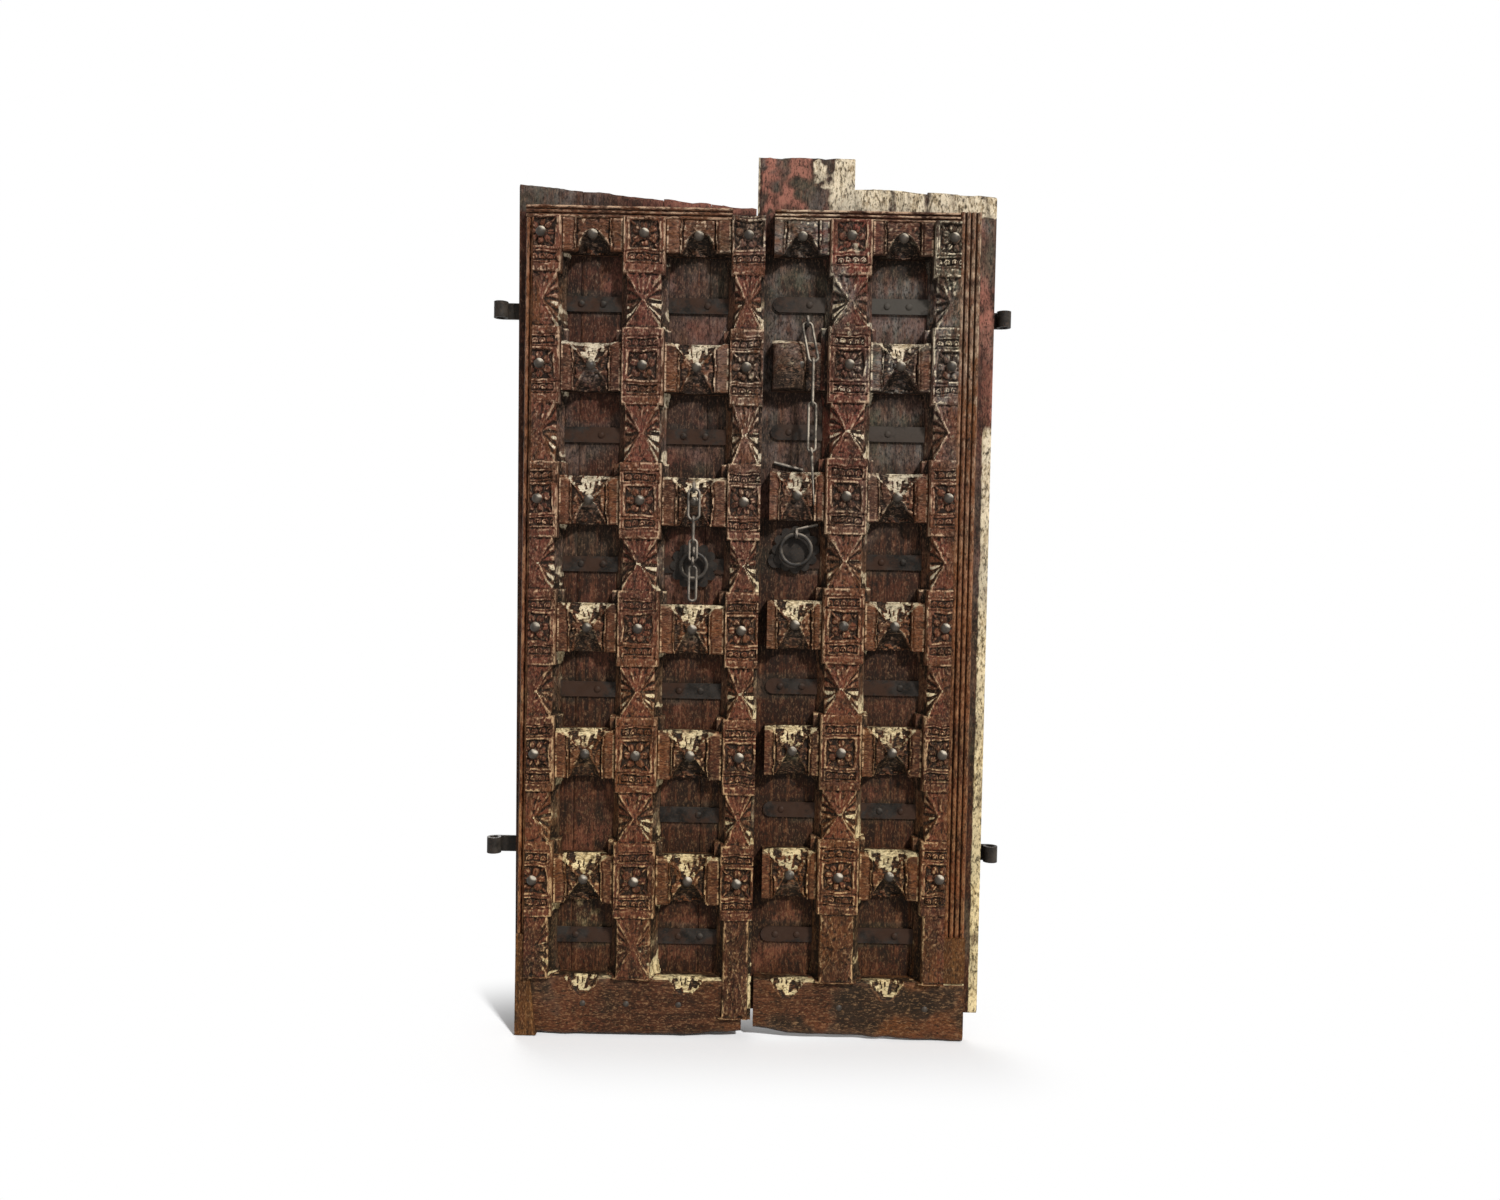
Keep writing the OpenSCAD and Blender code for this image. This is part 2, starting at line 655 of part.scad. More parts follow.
module left_middle_pilaster() {
  color(old_wood) placed()
    pilaster(left_middle_x, left_panel_2_x, left_middle_stud_x, bottom_rail_h, left_top_z,
             left_rail_shares, left_top_z, [-1, 1]);
}

module left_meeting_pilaster() {
  color(old_wood) placed()
    pilaster(meeting_x, meeting_end_x, meeting_stud_x, meeting_foot, frame_h - meeting_drop,
             left_rail_shares, frame_h, [-1, 1]) {
      bar(meeting_x - overrun, left_plank_end_x, meeting_foot - overrun, bottom_rail_h,
          -overrun, bottom_rail_d);
      bar(left_plank_end_x, meeting_end_x + overrun, 0, frame_h, -overrun, lap_clearance);
    }
}

module right_middle_pilaster() {
  color(old_wood) placed()
    pilaster(right_middle_x, right_panel_2_x, right_middle_stud_x, bottom_rail_h, right_top_z,
             right_rail_shares, right_top_z, [-1, 1]);
}

module right_side_pilaster() {
  color(old_wood) placed()
    pilaster(right_side_x, right_moulding_x, right_side_stud_x, bottom_rail_h, right_top_z,
             right_rail_shares, right_top_z, [-1])
      bar(right_repair_x, right_end_x, 0, right_repair_z + right_repair_h, -overrun, pilaster_d + overrun);
}

module bottom_scoop(x) {
  translate([x, -bottom_rail_d, bottom_rail_h - bottom_scoop_h]) scoop(bottom_scoop_h, scoop_w, scoop_d);
}

module left_bottom_rail() {
  color(red_wood) placed()
    difference() {
      outline_bar([[left_bottom_rail_x, left_outer_wear], [left_boss_2_x, left_outer_wear],
                   [left_plank_end_x, left_foot_wear], [left_plank_end_x, bottom_rail_h],
                   [left_bottom_rail_x, bottom_rail_h]], 0, bottom_rail_d);
      outline_bar(left_repair_outline, -overrun, bottom_rail_d + overrun);
      bottom_scoop(left_boss_1_x);
      bottom_scoop(left_boss_2_x);
      bottom_nail_holes(left_bottom_rail_x, left_plank_end_x, left_nail_shares);
    }
}

module right_bottom_rail() {
  toe_x = right_x - right_toe_l;
  color(red_wood) placed()
    difference() {
      outline_bar([[toe_x, right_foot_wear], [right_boss_1_x, right_foot_wear / 2], [right_end_x, 0],
                   [right_end_x, bottom_rail_h], [right_x, bottom_rail_h], [right_x, right_toe_h],
                   [toe_x, right_toe_h]], 0, bottom_rail_d);
      bottom_scoop(right_boss_1_x);
      bottom_scoop(right_boss_2_x);
      bottom_nail_holes(right_x, right_end_x, right_nail_shares);
    }
}

// Iron

module strap(x0, x1, z) {
  bar(x0, x1 - strap_w / 2, z - strap_w / 2, z + strap_w / 2, 0, strap_t);
  along_y(x1 - strap_w / 2, -strap_t, z, strap_w / 2, strap_t);
}

module left_iron_straps() {
  color(iron) placed()
    for (k = [0 : rail_last])
      difference() {
        strap(k == broken_strap ? left_middle_stud_x : left_side_stud_x, meeting_stud_x,
              row_z(left_rail_shares, k));
        if (k == chain_rail) staple_hole(left_boss_2_x, left_ring_z);
      }
}

module right_iron_straps() {
  color(iron) placed()
    for (k = [0 : rail_last])
      translate([right_x + right_side_stud_x, 0, 0]) mirror([1, 0, 0])
        strap(right_x, right_side_stud_x, row_z(right_rail_shares, k));
}

// A domed nail head on a face at a depth in front of the planks
module dome(x, z, d, r, h) {
  sphere_r = (r * r + h * h) / (2 * h);
  intersection() {
    translate([x, sphere_r - h - d, z]) sphere(r = sphere_r);
    along_y(x, -d - h - overrun, z, sphere_r + overrun, h + overrun);
  }
}

// A stud driven from a depth in front of the planks, with its end clenched on the back
module stud(x, z, d, r, h) {
  dome(x, z, d, r, h);
  along_y(x, -d, z, shank_r, d + plank_t + clench_r + fit);
  translate([x, plank_t + clench_r + fit, z + clench_r - clench_l]) cylinder(r = clench_r, h = clench_l);
}

module leaf_studs(pilaster_xs, boss_xs, shares, x0, x1, nail_shares) {
  for (k = [0 : rail_last]) {
    for (x = pilaster_xs) stud(x, rail_z(shares, k), pilaster_d, stud_r, stud_h);
    for (x = boss_xs) stud(x, rail_z(shares, k), rail_d, stud_r, stud_h);
  }
  for (share = nail_shares) stud(x0 + (x1 - x0) * share, nail_z, bottom_rail_d, nail_r, nail_h);
}

module left_studs() {
  color(iron) placed() {
    leaf_studs(left_pilaster_studs, left_boss_studs, left_rail_shares, left_bottom_rail_x, left_plank_end_x,
               left_nail_shares);
    hinge_nails(-1, hinge_top_z);
    hinge_nails(-1, hinge_bottom_z);
  }
}

module right_studs() {
  color(iron) placed() {
    leaf_studs(right_pilaster_studs, right_boss_studs, right_rail_shares, right_x, right_end_x,
               right_nail_shares);
    hinge_nails(1, hinge_top_z);
    hinge_nails(1, hinge_bottom_z);
  }
}

// A strap hinge on the planks' back; side is -1 on the left leaf and 1 on the right leaf
function hinge_nail_x(side, share) = side * (hinge_axis_x - hinge_l * share);
nail_depth = plank_t * nail_depth_share;

module hinge_nail_holes(side, z) {
  for (share = hinge_nail_shares)
    along_y(hinge_nail_x(side, share), plank_t - nail_depth - fit, z, shank_r + fit,
            nail_depth + hinge_t + overrun);
}

module hinge_nails(side, z) {
  for (share = hinge_nail_shares) {
    along_y(hinge_nail_x(side, share), plank_t - nail_depth, z, shank_r, nail_depth + hinge_t);
    mirror([0, 1, 0]) dome(hinge_nail_x(side, share), z, plank_t + hinge_t, stud_r, hinge_nail_h);
  }
}

module hinge(side, z) {
  axis_x = side * hinge_axis_x;
  tip_x = side * (hinge_axis_x - hinge_l);
  difference() {
    union() {
      translate([axis_x, hinge_axis_y, z - hinge_w / 2]) cylinder(r = eye_r, h = hinge_w);
      bar(min(axis_x, tip_x), max(axis_x, tip_x), z - hinge_w / 2, z + hinge_w / 2,
          -plank_t - hinge_t, -plank_t);
      along_y(tip_x, plank_t, z, hinge_w / 2, hinge_t);
    }
    translate([axis_x, hinge_axis_y, z - hinge_w / 2 - overrun])
      cylinder(r = eye_bore_r, h = hinge_w + 2 * overrun);
    hinge_nail_holes(side, z);
  }
}

module left_hinge_top() {
  color(iron) placed() hinge(-1, hinge_top_z);
}

module left_hinge_bottom() {
  color(iron) placed() hinge(-1, hinge_bottom_z);
}

module right_hinge_top() {
  color(iron) placed() hinge(1, hinge_top_z);
}

module right_hinge_bottom() {
  color(iron) placed() hinge(1, hinge_bottom_z);
}

// Chains and rings

// A staple's eye stands edge on: a loop in the y-z plane on a shank driven into the door
staple_depth = plank_t * staple_depth_share;

module staple_hole(x, z) {
  along_y(x, -rail_d - overrun, z, staple_wire / 2 + fit, rail_d + overrun + staple_depth + fit);
}

module staple(x, z, d) {
  translate([x, -d, z]) rotate([0, 90, 0])
    rotate_extrude() translate([staple_r, 0]) circle(d = staple_wire);
  along_y(x, staple_r - d, z, staple_wire / 2, d - staple_r + staple_depth);
}

// A closed link whose top wire has its middle at the origin; flat in the x-z plane, or turned edge on
module link(l, w, lean, edge_on) {
  r = bend_r(w);
  span = link_span(l, w);
  translate([0, 0, -r]) rotate([0, -lean, edge_on ? 90 : 0]) rotate([90, 0, 0]) {
    rotate_extrude(angle = 180) translate([r, 0]) circle(d = wire);
    translate([0, -span, 0]) rotate([0, 0, 180])
      rotate_extrude(angle = 180) translate([r, 0]) circle(d = wire);
    for (side = [-1, 1])
      translate([side * r, 0, 0]) rotate([90, 0, 0]) cylinder(d = wire, h = span);
  }
}

module chain_place(x, z) {
  placed() translate([x, -chain_depth, z]) children();
}

module left_chain_staple() {
  color(iron) placed() staple(left_staple_x, left_staple_z, chain_depth);
}

module left_link_1() {
  color(iron) chain_place(left_staple_x, left_z_1) link(left_link_l[0], left_link_w[0], 0, false);
}

module left_link_2() {
  color(iron) chain_place(left_staple_x, left_z_2) link(left_link_l[1], left_link_w[1], 0, true);
}

module left_link_3() {
  color(iron) chain_place(left_staple_x, left_z_3) link(left_link_l[2], left_link_w[2], 0, false);
}

// The tail is a flat loop with an eye turned edge on at its top
module left_tail_link() {
  eye_bend_r = bend_r(left_link_w[3]);
  loop_z = 2 * eye_bend_r + wire * tail_set_share;
  color(iron) chain_place(left_staple_x, left_z_4) {
    translate([0, 0, -eye_bend_r]) rotate([0, 90, 0])
      rotate_extrude() translate([eye_bend_r, 0]) circle(d = wire);
    translate([0, 0, -loop_z]) link(left_link_l[3] - loop_z, left_link_w[3], 0, false);
  }
}

module right_chain_staple() {
  color(iron) placed() staple(right_staple_x, right_staple_z, chain_depth);
}

module right_link_1() {
  color(iron) chain_place(right_staple_x, right_z_1)
    link(right_link_l[0], right_link_w[0], right_link_lean, false);
}

module right_link_2() {
  color(iron) chain_place(right_x_2, right_z_2) link(right_link_l[1], right_link_w[1], 0, true);
}

module right_link_3() {
  color(iron) chain_place(right_x_2, right_z_3) link(right_link_l[2], right_link_w[2], 0, false);
}

// The pin's eye stands edge on, and its shank tapers to the tip
module right_chain_pin() {
  color(iron) chain_place(right_x_2, right_z_4)
    translate([0, 0, -bend_r(right_link_w[1])]) rotate([0, -pin_lean, 0]) {
      rotate([0, 90, 0]) rotate_extrude() translate([bend_r(right_link_w[1]), 0]) circle(d = wire);
      translate([0, 0, -bend_r(right_link_w[1])]) mirror([0, 0, 1])
        cylinder(d1 = wire * pin_head_share, d2 = wire * pin_tip_share, h = pin_l);
    }
}

module ring_plate(x, z, ring_z) {
  r = plate_d / 2;
  lobe = r * scallop_share;
  difference() {
    union() {
      along_y(x, -plate_front, z, r * plate_core_share, plate_t);
      for (s = [0 : scallops - 1])
        along_y(x + (r - lobe) * cos(s * 360 / scallops), -plate_front,
                z + (r - lobe) * sin(s * 360 / scallops), lobe, plate_t);
    }
    staple_hole(x, ring_z);
  }
}

// A pull ring hangs flat in front of its plate, through the staple's eye
module pull_ring(x, z, ring_d) {
  r = (ring_d - ring_wire) / 2;
  translate([x, -ring_depth, z - ring_drop - r]) rotate([90, 0, 0])
    rotate_extrude() translate([r, 0]) circle(d = ring_wire);
}

module left_ring_plate() {
  color(iron) placed() ring_plate(left_boss_2_x, left_plate_z, left_ring_z);
}

module left_ring_staple() {
  color(iron) placed() staple(left_boss_2_x, left_ring_z, ring_depth);
}

module left_ring() {
  color(iron) placed() pull_ring(left_boss_2_x, left_ring_z, left_ring_d);
}

module right_ring_plate() {
  color(iron) placed() ring_plate(right_boss_1_x, right_plate_z, right_ring_z);
}

// The spare end of the right staple is bent aside above the ring
module right_ring_staple() {
  color(iron) placed() {
    staple(right_boss_1_x, right_ring_z, ring_depth);
    translate([right_boss_1_x, -ring_depth, right_ring_z + staple_r]) rotate([0, 90 - arm_angle, 0])
      cylinder(d = staple_wire * arm_wire_share, h = right_ring_d * arm_share);
  }
}

module right_ring() {
  color(iron) placed() pull_ring(right_boss_1_x, right_ring_z, right_ring_d);
}

// A short bar that lies on the upper face of the third rail, against the planks
module right_iron_bar() {
  bar_z = rail_high(right_rail_shares, chain_rail, right_top_z) + bar_l / 2 * sin(-bar_angle)
    + bar_wire / 2 + fit;
  color(iron) placed()
    translate([right_x + right_panel_1_w * bar_x_share, -bar_wire / 2 - fit, bar_z])
      rotate([0, 90 - bar_angle, 0]) cylinder(d = bar_wire, h = bar_l, center = true);
}

module left_plank_1() {
  color(dark_wood) left_plank(0);
}

module left_plank_2() {
  color(dark_wood) left_plank(1);
}

module left_plank_3() {
  color(dark_wood) left_plank(2);
}

module left_plank_4() {
  color(dark_wood) left_plank(3);
}

module right_plank_1() {
  color(dark_wood) right_plank(0);
}

module right_plank_2() {
  color(dark_wood) right_plank(1);
}

module right_plank_3() {
  color(dark_wood) right_plank(2);
}

left_plank_1();
left_plank_2();
left_plank_3();
left_plank_4();
left_top_moulding();
left_side_moulding();
left_corner_repair();
left_side_pilaster();
left_middle_pilaster();
left_meeting_pilaster();
left_rail(0);  // left_rail_1
left_rail(1);  // left_rail_2
left_rail(2);  // left_rail_3
left_rail(3);  // left_rail_4
left_rail(4);  // left_rail_5
left_rail(5);  // left_rail_6
left_bottom_rail();
left_iron_straps();
left_studs();
left_hinge_top();
left_hinge_bottom();
left_chain_staple();
left_link_1();
left_link_2();
left_link_3();
left_tail_link();
left_ring_plate();
left_ring_staple();
left_ring();
right_plank_1();
right_plank_2();
right_plank_3();
right_top_moulding();
right_side_moulding();
right_corner_repair();
right_middle_pilaster();
right_side_pilaster();
right_rail(0);  // right_rail_1
right_rail(1);  // right_rail_2
right_rail(2);  // right_rail_3
right_rail(3);  // right_rail_4
right_rail(4);  // right_rail_5
right_rail(5);  // right_rail_6
right_bottom_rail();
right_iron_straps();
right_studs();
right_hinge_top();
right_hinge_bottom();
right_chain_staple();
right_link_1();
right_link_2();
right_link_3();
right_chain_pin();
right_ring_plate();
right_ring_staple();
right_ring();
right_iron_bar();
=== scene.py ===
"""Looks of an antique carved double door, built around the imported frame.

Carved wood is made as reliefs: a grid of points over x and z, each with a depth in front of the
planks, closed by sides and a back. Sizes are in millimetres and become metres in the meshes.
"""

import math
import re

import bpy
import numpy as np
from mathutils import Matrix, Vector


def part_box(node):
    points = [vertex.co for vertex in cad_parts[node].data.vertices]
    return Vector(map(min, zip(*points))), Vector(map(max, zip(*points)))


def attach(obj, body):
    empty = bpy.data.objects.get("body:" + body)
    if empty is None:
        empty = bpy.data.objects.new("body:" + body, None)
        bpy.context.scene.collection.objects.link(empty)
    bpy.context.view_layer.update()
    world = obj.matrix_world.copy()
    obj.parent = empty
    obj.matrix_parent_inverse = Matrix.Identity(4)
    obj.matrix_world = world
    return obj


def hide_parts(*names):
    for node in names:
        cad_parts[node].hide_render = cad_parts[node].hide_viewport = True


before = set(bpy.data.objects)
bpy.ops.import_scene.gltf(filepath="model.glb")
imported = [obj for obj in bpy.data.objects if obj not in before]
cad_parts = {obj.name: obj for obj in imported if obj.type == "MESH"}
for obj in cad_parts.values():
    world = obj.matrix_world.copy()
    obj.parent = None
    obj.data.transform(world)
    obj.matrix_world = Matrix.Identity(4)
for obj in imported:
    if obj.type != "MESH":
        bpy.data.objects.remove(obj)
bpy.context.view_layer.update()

MM = 0.001

def span(node):
    """Lowest and highest corner of a node, in millimetres."""
    low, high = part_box(node)
    return np.array(low) / MM, np.array(high) / MM

def depth_of(node):
    """How far a node stands out in front of the planks."""
    return PLANK_FRONT - span(node)[0][1]

# Places and depths that the carving follows
PLANK_FRONT = span("left_plank_1")[0][1]
PLANK_THICKNESS = span("left_plank_1")[1][1] - PLANK_FRONT
FRAME_TOP = span("left_top_moulding")[1][2]
BOTTOM_TOP = span("left_bottom_rail")[1][2]
RAIL_DEPTH = depth_of("left_rail_2")
RAIL_HEIGHT = span("left_rail_2")[1][2] - span("left_rail_2")[0][2]
BLOCK_DEPTH = depth_of("left_middle_pilaster")
BOTTOM_DEPTH = depth_of("left_bottom_rail")
MOULDING_DEPTH = depth_of("left_side_moulding")
STRAP_DEPTH = depth_of("left_iron_straps")
LAP_DEPTH = 28
TOP_RAIL_DROP = 36
SIDE_STUD_SHARE = 0.28
ROWS = 6

# Noise and small helpers

LATTICE = 64
BEND_SIZE = 26

def noise(x, z, size, seed):
    """Smooth noise from 0 to 1 with bumps of a size in millimetres."""
    lattice = np.random.default_rng(seed).random((LATTICE, LATTICE))
    across, along = np.asarray(x) / size, np.asarray(z) / size
    i, j = np.floor(across).astype(int), np.floor(along).astype(int)
    u, v = across - i, along - j
    u, v = u * u * (3 - 2 * u), v * v * (3 - 2 * v)

    def at(di, dj):
        return lattice[(j + dj) % LATTICE, (i + di) % LATTICE]

    return (at(0, 0) * (1 - u) + at(1, 0) * u) * (1 - v) + (at(0, 1) * (1 - u) + at(1, 1) * u) * v

def fractal(x, z, size, seed, octaves=4):
    """Noise from 0 to 1 with finer and finer bumps."""
    total = sum(noise(x, z, size / 2 ** k, seed + k) * 0.5 ** k for k in range(octaves))
    return total / sum(0.5 ** k for k in range(octaves))

def smooth(value, low, high):
    """0 at low and 1 at high, with soft ends; low may be the larger one."""
    t = np.clip((value - low) / (high - low), 0, 1)
    return t * t * (3 - 2 * t)

def patches(x, z, size, seed, low, high, octaves=4):
    """Soft patches from 0 to 1: the smaller low and high are, the more they cover."""
    return smooth(fractal(x, z, size, seed, octaves), low, high)

def fall(distance, reach):
    """1 at an edge and 0 from a reach away."""
    return np.clip(1 - distance / reach, 0, 1)

def ridge(distance, width):
    """1 on a line and 0 from a width away on either side."""
    return fall(np.abs(distance), width)

def within(distance, half, soft):
    """1 within a half width and 0 beyond it, with a soft edge."""
    return smooth(np.abs(distance), half + soft, half - soft)

def inside(value, low, high):
    return (value > low) & (value < high)

def swell(u, v=0.0):
    """Height of a ball of radius 1 over a place, and 0 beside it."""
    return np.sqrt(np.clip(1 - u ** 2 - v ** 2, 0, 1))

def blur(field, cells):
    """Mean over a square of cells, with the edges repeated."""
    width = 2 * cells + 1
    for _ in range(2):
        total = np.cumsum(np.pad(field, [(cells + 1, cells), (0, 0)], mode="edge"), axis=0)
        field = ((total[width:] - total[:-width]) / width).T
    return field

def bent(x, z, reach, seed):
    """Places moved a little, so that carved lines run unevenly."""
    away_x, away_z = (2 * fractal(x, z, BEND_SIZE, seed + k, 2) - 1 for k in (0, 50))
    return x + reach * away_x, z + reach * away_z

def steps(low, high, pitch):
    return np.linspace(low, high, max(2, int(round((high - low) / pitch)) + 1))

def leaf_of(node):
    return node.split("_")[0] + "_leaf"

def new_object(name, data):
    made = bpy.data.objects.new(name, data)
    bpy.context.scene.collection.objects.link(made)
    return made

# Meshes

SHARP_ANGLE = 48
NAIL_LET_IN = 1
NAIL_RINGS = 4
NAIL_SEGMENTS = 12
BARE_PAINT = (0, 0, 0.5, 0)
NAIL_PAINT = (0, 0, 0.6, 0)

class Shape:
    """Points, faces and paint of one piece."""

    def __init__(self):
        self.points = []
        self.faces = []
        self.paint = []
        self.count = 0

    def add(self, points, faces, paint):
        self.faces += [tuple(int(i) + self.count for i in face) for face in faces]
        self.points.append(points)
        self.paint.append(paint)
        self.count += len(points)

    def closed(self, front, back, paint, back_paint=None):
        """A solid between a front grid and a back grid of points, rows upwards, columns to +X."""
        rows, cols = front.shape[:2]
        back_cols = back.shape[1]
        ids = np.arange(rows * cols).reshape(rows, cols)
        back_ids = rows * cols + np.arange(rows * back_cols).reshape(rows, back_cols)

        def quads(a, b, c, d):
            return np.stack([a.ravel(), b.ravel(), c.ravel(), d.ravel()], 1).tolist()

        faces = quads(ids[:-1, :-1], ids[:-1, 1:], ids[1:, 1:], ids[1:, :-1])
        faces += quads(back_ids[:-1, 1:], back_ids[:-1, :-1], back_ids[1:, :-1], back_ids[1:, 1:])
        faces += quads(back_ids[:-1, 0], ids[:-1, 0], ids[1:, 0], back_ids[1:, 0])
        faces += quads(ids[:-1, -1], back_ids[:-1, -1], back_ids[1:, -1], ids[1:, -1])
        faces.append(list(ids[-1]) + list(back_ids[-1][::-1]))
        faces.append(list(ids[0][::-1]) + list(back_ids[0]))
        if back_paint is None:
            back_paint = np.tile(BARE_PAINT, (rows, back_cols, 1))
        self.add(np.concatenate([front.reshape(-1, 3), back.reshape(-1, 3)]), faces,
                 np.concatenate([paint.reshape(-1, 4), back_paint.reshape(-1, 4)]))

    def dome(self, x, z, depth, radius, height):
        """A nail head, let into a face at a depth."""
        angles = np.arange(NAIL_SEGMENTS) * 2 * math.pi / NAIL_SEGMENTS
        points = [(x, PLANK_FRONT - depth - height, z)]
        for k in range(1, NAIL_RINGS + 1):
            turn = k / NAIL_RINGS * math.pi / 2
            lift = height * math.cos(turn) - (NAIL_LET_IN if k == NAIL_RINGS else 0)
            r = radius * math.sin(turn)
            points += [(x + r * math.cos(a), PLANK_FRONT - depth - lift, z + r * math.sin(a)) for a in angles]
        after = [(k, (k + 1) % NAIL_SEGMENTS) for k in range(NAIL_SEGMENTS)]
        faces = [(0, 1 + k, 1 + m) for k, m in after]
        for ring in range(NAIL_RINGS - 1):
            low = 1 + ring * NAIL_SEGMENTS
            high = low + NAIL_SEGMENTS
            faces += [(low + k, high + k, high + m, low + m) for k, m in after]
        faces.append(tuple(1 + (NAIL_RINGS - 1) * NAIL_SEGMENTS + k for k in range(NAIL_SEGMENTS))[::-1])
        self.add(np.array(points), faces, np.tile(NAIL_PAINT, (len(points), 1)))

    def piece(self, name, node, body, slot, material):
        """Makes the object, which rides on a body and may stand for a node."""
        mesh = bpy.data.meshes.new(name)
        mesh.from_pydata((np.concatenate(self.points) * MM).tolist(), [], self.faces)
        paint = mesh.attributes.new("paint", "FLOAT_COLOR", "POINT")
        paint.data.foreach_set("color", np.concatenate(self.paint).astype(np.float32).ravel())
        mesh.shade_smooth()
        mesh.set_sharp_from_angle(angle=math.radians(SHARP_ANGLE))
        mesh.materials.append(material)
        piece = new_object(name, mesh)
        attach(piece, body)
        if node:
            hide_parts(node)

def relief(name, node, xs, z, front, paint, slot, material, back=((0, 0),)):
    """A piece from depths in front of the planks; back holds its left and right depth in each row."""
    x = np.broadcast_to(xs, front.shape)
    back = np.broadcast_to(back, (front.shape[0], 2))
    ends = [0, -1]
    rear = np.stack([x[:, ends], PLANK_FRONT - back, z[:, ends]], 2)
    shape = Shape()
    shape.closed(np.stack([x, PLANK_FRONT - front, z], 2), rear, paint)
    shape.piece(name, node, leaf_of(node), slot, material)

class Face:
    """Depth and paint of a relief."""

    def __init__(self, shape, depth, red):
        self.front = np.full(shape, depth)
        self.red = np.full(shape, red)
        self.cream, self.bloom, self.ground = np.zeros((3, *shape))

    def lay(self, where, **fields):
        """Replaces some of the fields where a mask says so."""
        for name, value in fields.items():
            setattr(self, name, np.where(where, value, getattr(self, name)))

# Paint that the pieces carry: cream, red, hollow or edge, and bloom; hollows carry grime and painted shade,
# edges wear and a painted highlight

FINE_REACH = 2
FINE_DEPTH = 2.6
FINE_SHARE = 0.45
BROAD_REACH = 7
BROAD_DEPTH = 9
BROAD_SHARE = 0.25
GROUND_SHARE = 0.42
UPPER = (900, 1700)
RIGHTWARD = (-300, 250)
PATINA_SIZE = 150
RED_SIZE = 60
RED_INNER = (20, 70)
RED_OUTER = (330, 230)
RED_FIRST = (500, 900)
RED_MORE = (1050, 1400)

def paint_of(front, cream, red, bloom, ground=0.0):
    """Paint of a relief; its edges, lighter as wear and a painted highlight, and its hollows, darker as grime
    and painted shade, come from its depths, and a given darkening of grime and painted shade is added.
    """
    fine = np.clip((front - blur(front, FINE_REACH)) / FINE_DEPTH, -1, 1)
    broad = np.clip((front - blur(front, BROAD_REACH)) / BROAD_DEPTH, -1, 0.2)
    edge = np.clip(0.5 + FINE_SHARE * fine + BROAD_SHARE * broad - GROUND_SHARE * ground, 0, 1)
    return np.stack([np.broadcast_to(v, front.shape) for v in (cream, red, edge, bloom)], 2)

def upper_right(x, z):
    """How far a place lies towards the upper right of the door, from 0 to 1."""
    return smooth(z, *UPPER) * smooth(x, *RIGHTWARD)

def patina_at(x, z, seed):
    """Grey-green bloom, strongest on the upper right of the door."""
    return np.clip(1.2 * upper_right(x, z) * patches(x, z, PATINA_SIZE, seed, 0.35, 0.6), 0, 1)

def red_at(x, z, seed):
    """Red paint left round the right leaf's middle pilaster, above its lowest rows."""
    level = 0.25 * smooth(z, *RED_FIRST) + 0.6 * smooth(z, *RED_MORE)
    where = smooth(x, *RED_INNER) * smooth(x, *RED_OUTER) * level
    return where * patches(x, z, RED_SIZE, seed, 0.38, 0.58)

# Materials

class Nodes:
    """Nodes of a material or a world."""

    def __init__(self, owner):
        self.owner = owner
        owner.use_nodes = True
        self.tree = owner.node_tree

    def put(self, socket, value):
        if isinstance(value, bpy.types.NodeSocket):
            self.tree.links.new(value, socket)
        elif isinstance(value, tuple) and len(value) == 3 and socket.type == "RGBA":
            socket.default_value = (*value, 1)
        else:
            socket.default_value = value

    def add(self, kind, inputs=(), **settings):
        node = self.tree.nodes.new(kind)
        for key, value in settings.items():
            setattr(node, key, value)
        for key, value in dict(inputs).items():
            self.put(node.inputs[key], value)
        return node

    def where(self):
        return self.add("ShaderNodeTexCoord").outputs["Object"]

    def normal(self):
        return self.add("ShaderNodeNewGeometry").outputs["Normal"]

    def axes(self, vector):
        return self.add("ShaderNodeSeparateXYZ", {"Vector": vector}).outputs

    def seen(self):
        """1 for what is seen, also in a gloss or through glass, and 0 for light that falls on the door."""
        path = self.add("ShaderNodeLightPath").outputs
        seen = self.math("MAXIMUM", path["Is Camera Ray"], path["Is Glossy Ray"])
        return self.math("MAXIMUM", seen, path["Is Transmission Ray"])

    def noise(self, scale, detail, roughness):
        """Noise; its scale, in waves per metre, is one number or one for each axis."""
        scale = scale if isinstance(scale, tuple) else (scale,) * 3
        place = self.add("ShaderNodeMapping", {"Vector": self.where(), "Scale": scale}).outputs["Vector"]
        settings = {"Vector": place, "Scale": 1.0, "Detail": detail, "Roughness": roughness}
        return self.add("ShaderNodeTexNoise", settings).outputs["Fac"]

    def math(self, operation, a, b=0.0):
        return self.add("ShaderNodeMath", {0: a, 1: b}, operation=operation).outputs[0]

    def times(self, a, b):
        return self.math("MULTIPLY", a, b)

    def plus(self, a, b):
        return self.math("ADD", a, b)

    def step(self, value, low, high):
        settings = {"Value": value, "From Min": low, "From Max": high}
        return self.add("ShaderNodeMapRange", settings, interpolation_type="SMOOTHSTEP").outputs["Result"]

    def mix(self, factor, a, b, blend="MIX"):
        node = self.add("ShaderNodeMix", {0: factor}, data_type="RGBA", blend_type=blend)
        self.put(node.inputs[6], a)
        self.put(node.inputs[7], b)
        return node.outputs[2]

    def cover(self, color, paint, value, low, high, level=1.0):
        """A paint over a colour, up to a level, where a value has gone from low to high."""
        return self.mix(self.times(self.step(value, low, high), level), color, paint)

